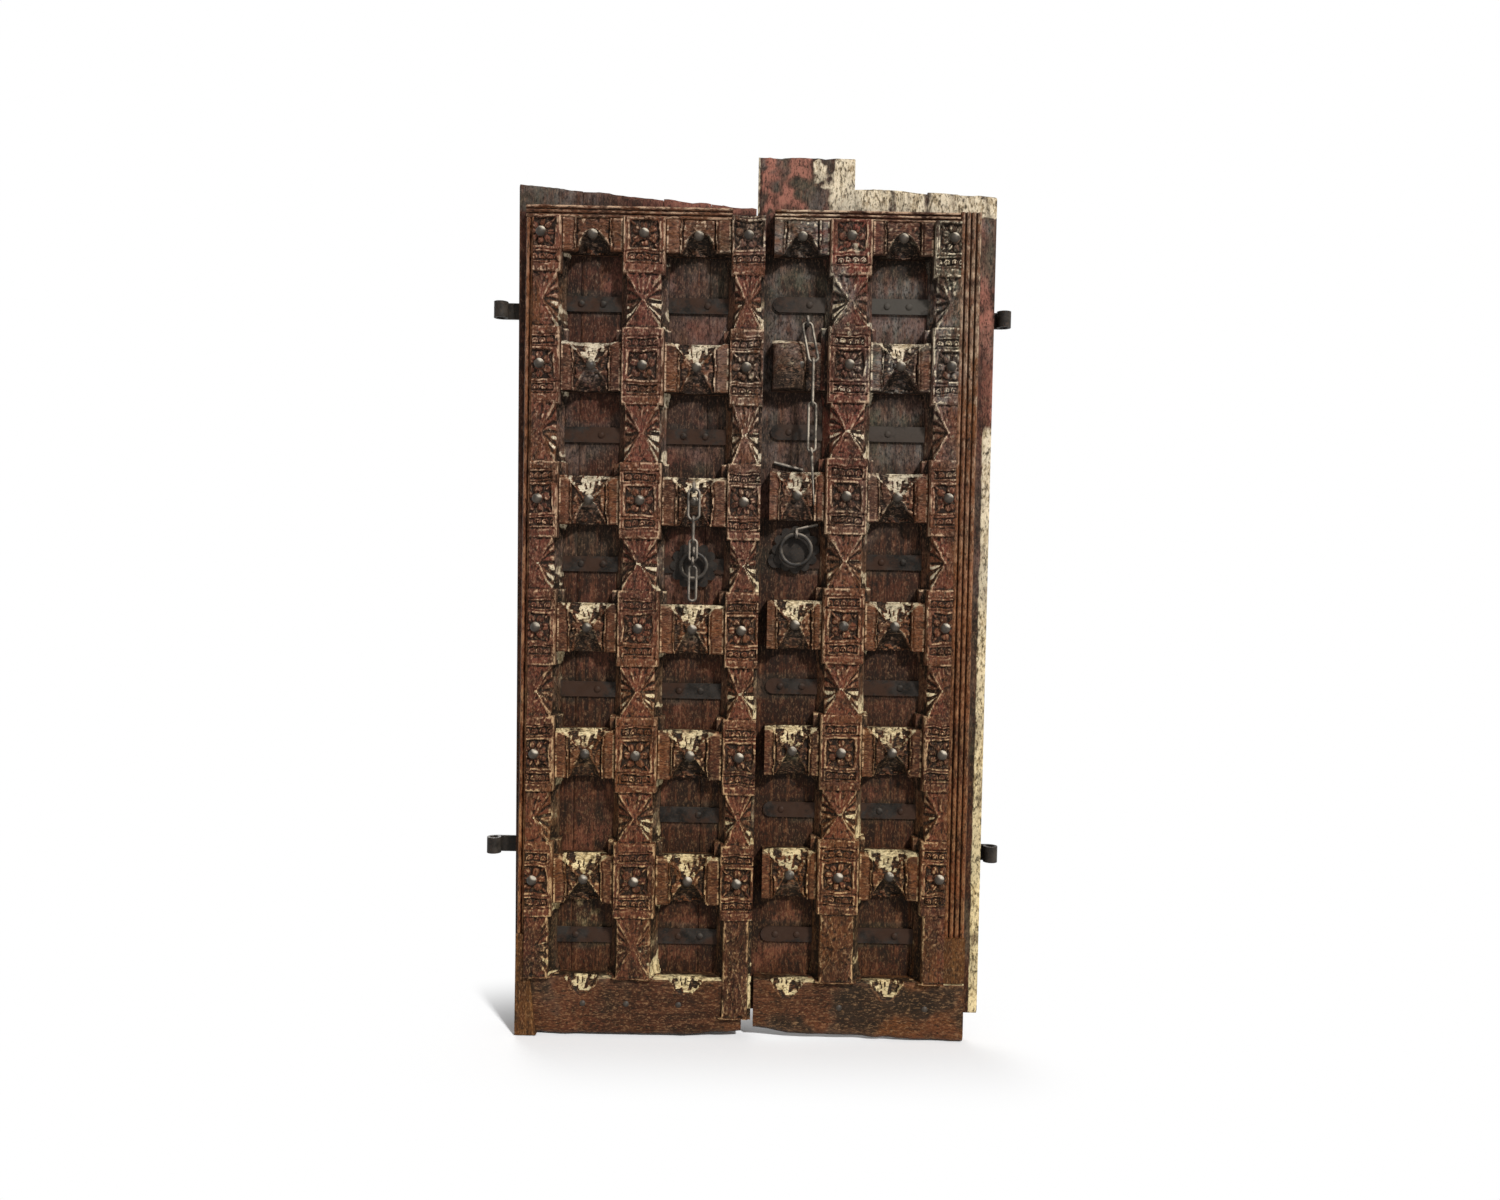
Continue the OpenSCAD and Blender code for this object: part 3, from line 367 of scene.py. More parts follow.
class Matter(Nodes):
    """Nodes of a material with one shader."""

    def __init__(self, name):
        super().__init__(bpy.data.materials.new(name))
        self.shader = self.tree.nodes["Principled BSDF"]

    def paint(self):
        """Cream, red, edge and bloom that the points of a piece carry."""
        carried = self.add("ShaderNodeAttribute", attribute_name="paint", attribute_type="GEOMETRY").outputs
        split = self.add("ShaderNodeSeparateColor", {"Color": carried["Color"]}).outputs
        return split[0], split[1], split[2], carried["Alpha"]

    def finish(self, color, roughness, height, strength, distance, shine, metallic=0.0):
        bump = self.add("ShaderNodeBump", {"Height": height, "Strength": strength, "Distance": distance})
        inputs = {"Base Color": color, "Roughness": roughness, "Normal": bump.outputs["Normal"],
                  "Specular IOR Level": shine, "Metallic": metallic}
        for name, value in inputs.items():
            self.put(self.shader.inputs[name], value)
        return self.owner

CREAM = (0.69, 0.582, 0.415)
OLD_CREAM = (0.33, 0.25, 0.15)
GREY_CREAM = (0.4, 0.355, 0.275)
RED = (0.125, 0.034, 0.022)
BRIGHT_RED = (0.165, 0.04, 0.026)
PALE_RED = (0.16, 0.058, 0.04)
FADED_RED = (0.29, 0.112, 0.078)
ORANGE = (0.16, 0.058, 0.02)
GRIME_AND_SHADE = (0.009, 0.006, 0.004)
SOOT = (0.017, 0.0095, 0.0058)
PALE_SPECK = (0.31, 0.185, 0.115)
GREEN_BLOOM = (0.066, 0.064, 0.043)
GREY_BLOOM = (0.13, 0.12, 0.108)
LOW_TINT = (1.0, 0.95, 0.72)
LOW_TINT_HEIGHTS = (1.5, 0.3)
WORN_AND_HIGHLIGHT = (0.48, 0.32, 0.205)
REED_WORN_AND_HIGHLIGHT = (0.29, 0.15, 0.08)
PLANK_WORN_AND_HIGHLIGHT = (0.2, 0.12, 0.07)
REPAIR_WORN_AND_HIGHLIGHT = (0.3, 0.16, 0.07)

# Patterns of the wood, in waves per metre
GRAIN_ALONG = 5
GRAIN_ACROSS = 110
HAIR_FINENESS = 2.2
TONE = 2.6
PATCH = 7
SMEAR = 20
FLAKE = 55
SPECK = 190
GRIT = 330
CRACKS = (16, 16, 0.7)
WEAR_DRAWN = 0.42

def wood(name, grain, tones, worn, reds=(RED, BRIGHT_RED), warm=0.0, cream_level=0.5, ledge_cream_and_highlight=0.5,
         carved=True, cracks=0.0, pale=0.34):
    """Old painted wood: grain, worn edges with a painted highlight on them, flaking cream and red paint,
    cream on up-facing ledges that is partly a painted highlight, grime and painted shade in the hollows.
    """
    n = Matter(name)
    dark, middle, light = tones

    def drawn(along, across, detail, roughness):
        scale = (along, across, across) if grain == "x" else (across, across, along)
        return n.noise(scale, detail, roughness)

    fibre = drawn(GRAIN_ALONG, GRAIN_ACROSS, 8.0, 0.68)
    hair = drawn(HAIR_FINENESS * GRAIN_ALONG, HAIR_FINENESS * GRAIN_ACROSS, 3.0, 0.6)
    patch = n.noise(PATCH, 6.0, 0.62)
    smear = n.noise(SMEAR, 6.0, 0.66)
    flake = drawn(WEAR_DRAWN * FLAKE, FLAKE, 7.0, 0.72)
    speck = drawn(WEAR_DRAWN * SPECK, SPECK, 3.0, 0.6)
    grit = drawn(WEAR_DRAWN * GRIT, GRIT, 2.0, 0.6)
    cream, red, edge, bloom = n.paint() if carved else (0.0, 0.2, 0.5, 0.0)
    # Bare wood
    color = n.cover(dark, middle, patch, 0.36, 0.66)
    color = n.cover(color, ORANGE, n.noise(TONE, 3.0, 0.55), 0.42, 0.6, warm)
    color = n.cover(color, light, fibre, 0.47, 0.68)
    color = n.cover(color, dark, hair, 0.54, 0.64, 0.55)
    # Red paint, bloom and soot
    red_chance = n.plus(n.plus(flake, n.times(patch, 0.5)), n.times(red, 0.3))
    color = n.cover(color, n.cover(*reds, red, 0.7, 0.95), red_chance, 0.77, 1.0, red)
    color = n.cover(color, n.cover(GREEN_BLOOM, GREY_BLOOM, patch, 0.4, 0.6), flake, 0.3, 0.62, bloom)
    color = n.cover(color, SOOT, smear, 0.5, 0.66, 0.6)
    # Worn edges, lighter as wear and as a painted highlight, and hollows darkened by grime and painted shade
    flaked = n.times(n.step(flake, 0.45, 0.56), 0.9)
    color = n.cover(color, n.mix(bloom, worn, CREAM), edge, 0.58, 0.86, flaked)
    color = n.cover(color, GRIME_AND_SHADE, edge, 0.48, 0.12, 0.92)
    # Cream paint, also on ledges that face up, where it is partly a painted highlight
    upward = n.axes(n.normal())["Z"]
    wish = n.math("MAXIMUM", cream, n.times(n.step(upward, 0.3, 0.85), ledge_cream_and_highlight))
    chance = n.plus(n.plus(n.times(flake, 0.55), n.times(smear, 0.45)), n.times(wish, 0.6))
    cream_mask = n.times(n.step(chance, 0.95 - 0.2 * cream_level, 1.0), n.step(wish, 0.02, 0.3))
    ageing = n.plus(n.times(speck, 0.5), n.times(flake, 0.5))
    aged = n.cover(n.cover(CREAM, OLD_CREAM, ageing, 0.45, 0.58), GREY_CREAM, patch, 0.45, 0.62, 0.6)
    color = n.mix(cream_mask, color, aged)
    # Dark and pale specks, cracks, and a warmer tint low on the door
    color = n.cover(color, GRIME_AND_SHADE, speck, 0.54, 0.66, 0.75)
    color = n.cover(color, PALE_SPECK, speck, 0.42, 0.31, pale)
    color = n.cover(color, GRIME_AND_SHADE, grit, 0.54, 0.64, 0.6)
    color = n.cover(color, PALE_SPECK, grit, 0.44, 0.33, pale)
    if cracks:
        from_crack = n.math("ABSOLUTE", n.math("SUBTRACT", n.noise(CRACKS, 3.0, 0.55), 0.5))
        color = n.cover(color, GRIME_AND_SHADE, from_crack, 0.012, 0.004, cracks)
    color = n.mix(n.step(n.axes(n.where())["Z"], *LOW_TINT_HEIGHTS), color, LOW_TINT, "MULTIPLY")
    height = n.plus(n.times(fibre, 0.5), n.times(flake, 0.4))
    height = n.plus(n.plus(height, n.times(grit, 0.25)), n.times(cream_mask, 0.12))
    rough = n.plus(0.52, n.times(flake, 0.35))
    return n.finish(color, rough, height, strength=0.75, distance=0.002, shine=0.12)

RUST = (0.07, 0.036, 0.018)
OLD_PAINT = (0.04, 0.019, 0.011)
GREY_PAINT = (0.068, 0.06, 0.05)
# Way that faces take the rubbed and painted highlight on iron: up, to the right and towards the front
RUB_AND_HIGHLIGHT_WAY = (0.45, -0.35, 0.82)
DULL_HEIGHTS = (0.13, 0.18)
GREY_ACROSS = (0.0, 0.25)
GREY_HEIGHTS = (1.15, 1.5)

# Patterns of the iron, in waves per metre
IRON_SMEAR = 11
IRON_PATCH = 38
IRON_DENTS = 90
IRON_FINE = 260

def iron(name, tones, rub_and_highlight_color, rub_and_highlight_level, rub_and_highlight_turn, metallic=0.0, shine=0.3, painted=0.0):
    """Forged iron: near black, with brown bloom, hammer marks, rubbed tops that also serve as a painted
    highlight on faces turned up and to the right, and smears of old paint.
    """
    m = Matter(name)
    patch = m.noise(IRON_PATCH, 6.0, 0.65)
    fine = m.noise(IRON_FINE, 4.0, 0.6)
    dents = m.noise(IRON_DENTS, 2.0, 0.5)
    color = m.cover(*tones, patch, 0.35, 0.65)
    color = m.cover(color, RUST, fine, 0.55, 0.72, 0.6)
    # Rubbed and painted highlight: lighter where a face turns towards the upper right, never near the floor
    turned = m.add("ShaderNodeVectorMath", {0: m.normal(), 1: RUB_AND_HIGHLIGHT_WAY}, operation="DOT_PRODUCT")
    place = m.axes(m.where())
    level = m.times(m.step(patch, 0.32, 0.6), m.step(place["Z"], *DULL_HEIGHTS))
    level = m.times(level, rub_and_highlight_level)
    color = m.cover(color, rub_and_highlight_color, turned.outputs["Value"], *rub_and_highlight_turn, level)
    if painted:
        grey_side = m.times(m.step(place["X"], *GREY_ACROSS), m.step(place["Z"], *GREY_HEIGHTS))
        wish = m.plus(m.noise(IRON_SMEAR, 6.0, 0.66), m.times(grey_side, 0.12))
        color = m.cover(color, m.mix(grey_side, OLD_PAINT, GREY_PAINT), wish, 0.44, 0.56, painted)
    rough = m.plus(0.36, m.times(patch, 0.35))
    height = m.plus(dents, m.times(fine, 0.25))
    return m.finish(color, rough, height, strength=0.5, distance=0.0012, shine=shine, metallic=metallic)

PILASTER_TONES = (0.022, 0.008, 0.005), (0.074, 0.026, 0.015), (0.118, 0.047, 0.028)
RAIL_TONES = (0.025, 0.009, 0.005), (0.075, 0.027, 0.0142), (0.112, 0.046, 0.026)
PLANK_TONES = (0.013, 0.005, 0.003), (0.05, 0.0158, 0.008), (0.094, 0.036, 0.0185)
MOULDING_TONES = (0.045, 0.0145, 0.0065), (0.13, 0.04, 0.0165), (0.18, 0.066, 0.03)
REPAIR_TONES = (0.05, 0.02, 0.007), (0.1, 0.041, 0.014), (0.14, 0.062, 0.022)
PILASTER_WOOD = wood("carved_upright", "z", PILASTER_TONES, WORN_AND_HIGHLIGHT, warm=0.5)
RAIL_WOOD = wood("carved_across", "x", RAIL_TONES, WORN_AND_HIGHLIGHT, warm=0.6)
PLANK_WOOD = wood("old_planks", "z", PLANK_TONES, PLANK_WORN_AND_HIGHLIGHT, (PALE_RED, FADED_RED), cream_level=0.8,
                  cracks=0.35, pale=0.2)
MOULDING_WOOD = wood("reeded_wood", "z", MOULDING_TONES, REED_WORN_AND_HIGHLIGHT, warm=0.85)
REPAIR_WOOD = wood("newer_wood", "z", REPAIR_TONES, REPAIR_WORN_AND_HIGHLIGHT, ledge_cream_and_highlight=0.2, carved=False, cracks=0.5)

IRON_TONES = (0.018, 0.015, 0.012), (0.05, 0.042, 0.034)
CHAIN_TONES = (0.022, 0.018, 0.014), (0.06, 0.05, 0.04)
STRAP_TONES = (0.009, 0.0075, 0.006), (0.027, 0.0225, 0.019)
STUD_TONES = (0.022, 0.017, 0.012), (0.06, 0.046, 0.033)
RING_TONES = (0.012, 0.01, 0.008), (0.034, 0.028, 0.022)
PLATE_TONES = (0.009, 0.0075, 0.006), (0.026, 0.021, 0.017)
IRON = iron("forged_iron", IRON_TONES, (0.36, 0.3, 0.235), 0.75, (0.15, 0.6), metallic=0.15)
CHAIN_IRON = iron("rubbed_chain", CHAIN_TONES, (0.5, 0.42, 0.32), 0.85, (0.05, 0.55), metallic=0.15)
STRAP_IRON = iron("strap_iron", STRAP_TONES, (0.09, 0.078, 0.062), 0.6, (0.3, 0.9), shine=0.08, painted=0.75)
STUD_IRON = iron("rubbed_studs", STUD_TONES, (0.62, 0.54, 0.42), 1.0, (0.55, 0.95))
RING_IRON = iron("ring_iron", RING_TONES, (0.26, 0.215, 0.165), 0.7, (0.3, 0.85), metallic=0.15)
PLATE_IRON = iron("plate_iron", PLATE_TONES, (0.12, 0.1, 0.08), 0.6, (0.3, 0.9), shine=0.12)

# Carved pilasters

PILASTER_PITCH = 2.1
BLOCK_HALF = 84
BLOCK_BEND = 3.6
SQUARE_HALF = 31
SQUARE_SOFT = 1.2
SQUARE_SUNK = 9
PETAL_COUNTS = (6, 8, 6, 5)
PETAL_PLACE = 20
PETAL_LENGTH = 9.5
PETAL_FILL = 0.86
VEIN_WIDTH = 2.2
CORNER_LEAF_PLACE = 29
CORNER_LEAF_WIDTH = 5
EYE_RADIUS = 13
ROSETTE_CREAM = 0.45
ROSETTE_GROUND = 0.75
ROSETTE_RISE = 0.5
BAND_PLACE = 51
BAND_HALF = 9
BAND_REACH = 33.5
BAND_SOFT = 1
BAND_SUNK = 7.5
CURL_PITCH = 16.5
CURL_RADIUS = 5.6
CURL_WIDTH = 2.7
CURL_DROP = 1.5
CURL_FOOT = -5
BUD_SIZE = (3.2, 4.0)
BUD_DROP = 2.5
FILLETS = ((38.0, 5.5), (64.0, 5.0))
FILLET_WIDTH = 3
GROOVE_PLACE = 39.2
GROOVE_WIDTH = 2.6
GROOVE_DEPTH = 3.5
GROOVE_END = 66
BLOCK_ROUND = 3.5
BLOCK_ROUND_REACH = 4
PIT_SIZE = 11
PIT_DEPTH = 3.3
PIT_REACH = (42, 36)
FLECK_SIZE = 10

def rosette(a, t, seed):
    """Height of worn petals, corner leaves and an eye in a sunk square."""
    r = np.hypot(a, t)
    sector = 2 * math.pi / PETAL_COUNTS[seed % 4]
    angle = np.arctan2(t, a) + 0.5 * (seed % 3)
    turn = (angle + sector / 2) % sector - sector / 2
    number = np.floor((angle + sector / 2) / sector)
    along, across = r * np.cos(turn) - PETAL_PLACE, r * np.sin(turn)
    wide = PETAL_FILL * PETAL_PLACE * math.sin(sector / 2)
    petal = swell(along / PETAL_LENGTH, across / wide)
    petal = petal * (0.55 + 0.5 * noise(number * 7, number * 0 + seed, 5, seed))
    vein = 0.35 * ridge(across, VEIN_WIDTH) * (petal > 0)
    leaf = 0.8 * ridge(np.abs(a) - np.abs(t), CORNER_LEAF_WIDTH) * (r > CORNER_LEAF_PLACE)
    return np.maximum(np.maximum(petal - vein, leaf), swell(r / EYE_RADIUS))

def curls(a, t, seed):
    """Height of a row of small arches with buds."""
    place = a / CURL_PITCH + 0.5 * (seed % 2)
    u = (place % 1 - 0.5) * CURL_PITCH
    v = t - BAND_PLACE * np.sign(t)
    ring = ridge(np.hypot(u, v + CURL_DROP) - CURL_RADIUS, CURL_WIDTH) * (v > CURL_FOOT)
    bud = swell(u / BUD_SIZE[0], (v + BUD_DROP) / BUD_SIZE[1])
    wear = 0.6 + 0.45 * noise(np.floor(place) * 7, 30 * (t > 0) + 11 * seed, 5, seed)
    return np.maximum(ring, bud) * wear

def block(a, t, half, seed):
    """Cut, darkening and cream figures of a block's face: rosette, fillets and bands of curls; the darkening
    of the sunk ground is grime and painted shade.
    """
    level = np.abs(t)
    square = within(np.maximum(np.abs(a), level), SQUARE_HALF, SQUARE_SOFT)
    band = within(level - BAND_PLACE, BAND_HALF, BAND_SOFT) * within(a, BAND_REACH, BAND_SOFT)
    flower, curl = rosette(a, t, seed), curls(a, t, seed)
    cut = square * SQUARE_SUNK * (1 - flower) + band * BAND_SUNK * (1 - curl)
    for place, depth in FILLETS:
        cut = cut + depth * ridge(level - place, FILLET_WIDTH)
    if half > GROOVE_PLACE + GROOVE_WIDTH:
        cut = cut + GROOVE_DEPTH * ridge(np.abs(a) - GROOVE_PLACE, GROOVE_WIDTH) * (level < GROOVE_END)
    cut = cut + BLOCK_ROUND * fall(BLOCK_HALF - level, BLOCK_ROUND_REACH) ** 2
    petals, arches = square * smooth(flower, 0.15, 0.5), band * smooth(curl, 0.15, 0.5)
    ground = np.maximum(ROSETTE_GROUND * square - ROSETTE_RISE * petals, band - arches)
    return cut, ground, np.maximum(ROSETTE_CREAM * petals, arches)

def pits(x, z, seed):
    """Small irregular hollows of worn carving."""
    return patches(x, z, PIT_SIZE, seed, 0.48, 0.68, 3)

def flecks(x, z, seed):
    """Small cream flecks in worn carving."""
    return (0.46 + 0.1 * upper_right(x, z)) * patches(x, z, FLECK_SIZE, seed, 0.5, 0.64, 2)

SHAFT_DEPTH = 54
SHAFT_INSET = 8
SHAFT_SCOOP = 27
SHAFT_BEND = 3
WAIST = 8
FAN_PITCH = 0.4
FAN_START = 0.3
FAN_CURL = 0.12
FAN_DEPTH = 7
BAR_PLACE = 5.5
RIM_WIDTH = 3.8
RIM_RISE = 2.4
INNER_LINE = 14
INNER_WIDTH = 3.4
INNER_DEPTH = 2.6
RIB_COUNT = 5
RIB_DEPTH = 2.4
RIB_FADE = (4, 12)
FLANGE_HIGH = 30
FLANGE_LOW = 7
FLANGE_REACH = 14
FLANGE_MIDDLE = 6
SUNK_IN_PLANK = -3
BELOW_WAIST = 0.08

def shaft_side(a, s, reach, half, side):
    """Cut, cream, red and darkening of one side of a shaft: petals that open from the waist. The cream is
    strongest below the waist and on the right side, as a painted highlight, and the darkening between petals
    is grime and painted shade.
    """
    r = np.clip((a - WAIST / 2) / (reach - WAIST / 2), 0.001, 1)
    q = s / r
    open_ = np.abs(q) < 1
    bowl = SHAFT_SCOOP * r * np.clip(1 - q * q, 0, 1)
    fan = np.cos((np.abs(q) - FAN_START + FAN_CURL * r * r) * 2 * math.pi / FAN_PITCH)
    petal = (0.5 + 0.5 * fan) * smooth(r, 0.12, 0.35)
    bars = ridge(s * half - BAR_PLACE, RIM_WIDTH) + ridge(s * half + BAR_PLACE, RIM_WIDTH)
    raised = np.maximum(petal, bars * smooth(r, 0.2, 0.4))
    past = (np.abs(q) - 1) * r * half
    rim = ridge(past, RIM_WIDTH)
    inner = INNER_DEPTH * ridge(past - INNER_LINE, INNER_WIDTH)
    ribs = 0.5 - 0.5 * np.cos(np.clip(a / (np.abs(s) * reach + 1), 0, 1) * RIB_COUNT * math.pi)
    flat = np.where(s > 0, np.maximum(RIB_DEPTH * ribs * smooth(past, *RIB_FADE), inner), inner)
    cut = np.where(open_, bowl - FAN_DEPTH * r * (raised - 0.4), flat) - RIM_RISE * rim
    # Painted highlight: more cream where the scoops face up, below the waist, and on the right side
    highlight_share = np.where(s < BELOW_WAIST, 1.0, 0.3) * (1.0 if side > 0 else 0.75)
    cream = np.where(open_, highlight_share * smooth(raised, 0.4, 0.8), 0.8 * highlight_share * (rim > 0.25))
    ground = np.where(open_, 0.75 * (1 - smooth(raised, 0.15, 0.55)), 0)
    return cut, cream, np.where(open_ & (s < BELOW_WAIST), 0.1, 0.68), ground

def flange_depth(a, edge, inset, p):
    """A bevel from a shaft's side down to the panel, wider towards the panel's corners."""
    reach = edge + FLANGE_MIDDLE + (FLANGE_REACH - FLANGE_MIDDLE) * np.abs(p) ** 4
    depth = FLANGE_HIGH + (FLANGE_LOW - FLANGE_HIGH) * (a - inset) / (reach - inset)
    return np.where(a < reach, depth, SUNK_IN_PLANK)

class Pilaster:
    """Relief of a pilaster: rosette blocks at the rails and hourglass shafts between them.

    Sides lists the carved sides of its shafts, and flanged those that slope down to a panel.
    """

    def __init__(self, node, sides, flanged, seed):
        self.node, self.sides, self.flanged, self.seed = node, sides, flanged, seed
        self.low, self.high = span(node)
        first, last = (end + side * FLANGE_REACH * (side in flanged)
                       for end, side in ((self.low[0], -1), (self.high[0], 1)))
        self.xs = steps(first, last, PILASTER_PITCH)
        self.zs = steps(self.low[2], self.high[2], PILASTER_PITCH)
        self.x, self.z = np.meshgrid(self.xs, self.zs)
        self.axis_x = axis_of(node)
        self.a = self.x - self.axis_x
        self.face = Face(self.x.shape, BLOCK_DEPTH, 0.5)
        self.face.bloom = patina_at(self.x, self.z, seed + 11)
        backs = [SUNK_IN_PLANK - 1 if side in flanged else 1.0 for side in (-1, 1)]
        self.behind = np.tile(backs, (len(self.zs), 1))

    def add_block(self, k, center):
        t = self.z - center
        wear = 0.7 + 0.3 * noise(center, self.axis_x, 90, self.seed)
        bent_a, bent_t = bent(self.a, t, BLOCK_BEND, self.seed + 7 * k)
        cut, ground, figure = block(bent_a, bent_t, (self.high[0] - self.low[0]) / 2, self.seed + k)
        cream = figure * (0.45 + 0.4 * upper_right(self.x, self.z))
        self.face.lay(np.abs(t) <= BLOCK_HALF, front=BLOCK_DEPTH - wear * cut, ground=ground, cream=cream)

    def add_shaft(self, k, shaft, panel, keep):
        """A shaft and its flanges; keep is the share of its carving that is not worn off."""
        here = inside(self.z, *shaft)
        self.face.lay(here, front=SHAFT_DEPTH)
        half = (shaft[1] - shaft[0]) / 2
        s = (self.z - (shaft[0] + shaft[1]) / 2) / half
        p = (self.z - (panel[0] + panel[1]) / 2) / ((panel[1] - panel[0]) / 2)
        faded = 0.45 + 0.75 * patches(self.x, self.z, 24, self.seed + 41, 0.35, 0.62)
        for side in self.sides:
            out = self.a * side
            edge = abs((self.high[0] if side > 0 else self.low[0]) - self.axis_x)
            inset = edge - SHAFT_INSET
            mine = here & (out > 0)
            bent_a, bent_z = bent(out, s * half, SHAFT_BEND, self.seed + 7 * k + side)
            cut, cream, red, ground = shaft_side(bent_a, bent_z / half, inset, half, side)
            self.face.lay(mine, front=SHAFT_DEPTH - cut * keep, cream=cream * keep * faded, red=red * keep,
                          ground=ground * keep)
            bevel = flange_depth(out, edge, inset, p) if side in self.flanged else FLANGE_HIGH
            self.add_flange((mine & (out > inset)) | (inside(self.z, *panel) & (out > edge)), bevel, p, side)

    def add_flange(self, where, bevel, p, side):
        """A bevel with flaking cream, most of it at a panel's corners; bevels that face right get more cream
        and bloom as a painted highlight.
        """
        corners = np.maximum(smooth(p, 0.0, -0.95), smooth(p, 0.6, 0.95))
        # Painted highlight: the bevel that faces right carries more cream and bloom than the one that faces
        # left
        highlight_share = 0.45 + 0.45 * corners if side > 0 else 0.2
        flaking = patches(self.x, self.z, 26, self.seed + 3, 0.4, 0.62)
        bloom = np.maximum(self.face.bloom, 0.5 if side > 0 else 0.2)
        self.face.lay(where, front=bevel, cream=highlight_share * (0.3 + flaking), red=0.05, ground=0.5 * (1 - flaking),
                      bloom=bloom)

    def wear(self):
        """Pits, cream flecks and rubbed places; the relief stays in front of its back."""
        x, z, seed, face = self.x, self.z, self.seed, self.face
        beyond = (x < self.low[0] - 0.1) | (x > self.high[0] + 0.1)
        face.lay(beyond & (face.front > FLANGE_HIGH), front=LAP_DEPTH + 1)
        reach = smooth(np.abs(self.a), *PIT_REACH) * (face.front > FLANGE_HIGH)
        front = face.front - PIT_DEPTH * pits(x, z, seed + 31) * reach
        face.lay(front > FLANGE_HIGH, cream=np.maximum(face.cream, flecks(x, z, seed + 61)))
        rough = 1.8 * patches(x, z, 60, seed + 5, 0.5, 0.75) + 1.0 * noise(x, z, 8, seed + 9)
        front = np.where(front > 0, np.maximum(front - rough, 0.5), front)
        front = 0.75 * front + 0.25 * blur(front, 1)
        back = np.where(self.a < 0, self.behind[:, :1], self.behind[:, 1:])
        face.front = np.maximum(front, back + 1)

    def piece(self):
        face = self.face
        fresh_red = red_at(self.x, self.z, self.seed + 13)
        paint = paint_of(face.front, face.cream, np.maximum(face.red, fresh_red),
                         face.bloom * (1 - 0.7 * fresh_red), face.ground)
        relief("carved_" + self.node, self.node, self.xs, self.z, face.front, paint, "carving",
               PILASTER_WOOD, self.behind)

def pilaster(node, rows, sides, flanged, seed, lowest_worn):
    """One pilaster over a leaf's rows of rails; its lowest shaft is worn by a share."""
    made = Pilaster(node, sides, flanged, seed)
    feet = [(row[0] + BLOCK_HALF, row[2]) for row in rows[1:]] + [(made.low[2], BOTTOM_TOP)]
    for k, (center, rail_low, rail_high) in enumerate(rows):
        made.add_block(k, center)
        made.behind[inside(made.zs, rail_low, rail_high)] = LAP_DEPTH
        shaft_low, panel_low = feet[k]
        keep = 1 - lowest_worn if k + 1 == len(rows) else 1
        made.add_shaft(k, (shaft_low, center - BLOCK_HALF), (panel_low, rail_low), keep)
    made.wear()
    made.piece()

def rail_rows(side):
    """Stud height, lower edge and upper edge of each rail of a leaf, top to bottom."""
    rows = []
    for k in range(ROWS):
        low, high = span(f"{side}_rail_{k + 1}")
        stud = low[2] + (TOP_RAIL_DROP if k == 0 else RAIL_HEIGHT / 2)
        rows.append((stud, low[2], high[2]))
    return rows

def reach_of(node):
    low, high = span(node)
    return low[0], high[0]

def axis_of(node):
    """Place of a pilaster's studs: its middle, or near the outer edge of a half pilaster."""
    left, right = reach_of(node)
    if "side" not in node:
        return (left + right) / 2
    inset = (right - left) * SIDE_STUD_SHARE
    return left + inset if node.startswith("left") else right - inset

LEFT_ROWS = rail_rows("left")
RIGHT_ROWS = rail_rows("right")
pilaster("left_side_pilaster", LEFT_ROWS, [1], [1], 21, 0.3)
pilaster("left_middle_pilaster", LEFT_ROWS, [-1, 1], [-1, 1], 22, 0.4)
pilaster("left_meeting_pilaster", LEFT_ROWS, [-1, 1], [-1], 23, 0.75)
pilaster("right_middle_pilaster", RIGHT_ROWS, [-1, 1], [-1, 1], 24, 0.75)
pilaster("right_side_pilaster", RIGHT_ROWS, [-1], [-1], 25, 0.9)

# Carved rails

RAIL_PITCH = 2.3
LAP_PITCH = 20
LAP_GAP = 0.6
BEAD_SIZE = 7
SCOOP_HALF = 36
SCOOP_CURVE = 0.75
SCOOP_DEPTH = 22
SCOOP_PETALS = 6.5
SCOOP_RIM = (2.4, 3.6)
HORN_HALF = 57
HORN_CURVE = 1.35
NECK_SHARE = 0.2
TOP_ARCH = (14.0, 40.0, 0.52)
OPEN_ARCH = (0.0, 43.0, 0.65)
ARCH_DEPTH = 31
ARCH_BEADS = 5
ARCH_RIM = (2.0, 3.4)
BOSS_BEND = 3.5
BOSS_HALF = 38
BOSS_SUNK = 5
BOSS_MARGIN = 3
LEAF_SIZE = 11
LEAF_DEPTH = 4.5
ROPE_WIDTH = 2.6
ROPE_RISE = 1.5
EAR_ROUND = 5
EAR_REACH = 9
PILLOW_PLACE = -24
PILLOW_HALF = 38
PILLOW_HEIGHT = 61
PILLOW_SWELL = 34
PILLOW_SUNK = 18
RAIL_ROUND = 2.5
RAIL_ROUND_REACH = 4
RAIL_CHAMFER = 5.5
RAIL_CHAMFER_REACH = 8
SOLID_DEPTH = 20
CHAMFERED_DEPTH = 24
LEAST_DEPTH = 0.8
RED_RAILS = (110, 140)

def opening(a, t, height, half_width, curve, neck):
    """Share of height, half width, place across and mask of a scoop that widens from a stud."""
    r = np.clip(t / height, 0.001, 1.2)
    half = half_width * (neck + (1 - neck) * r ** curve)
    q = a / half
    return r, half, q, (np.abs(q) < 1) & (t > 0)

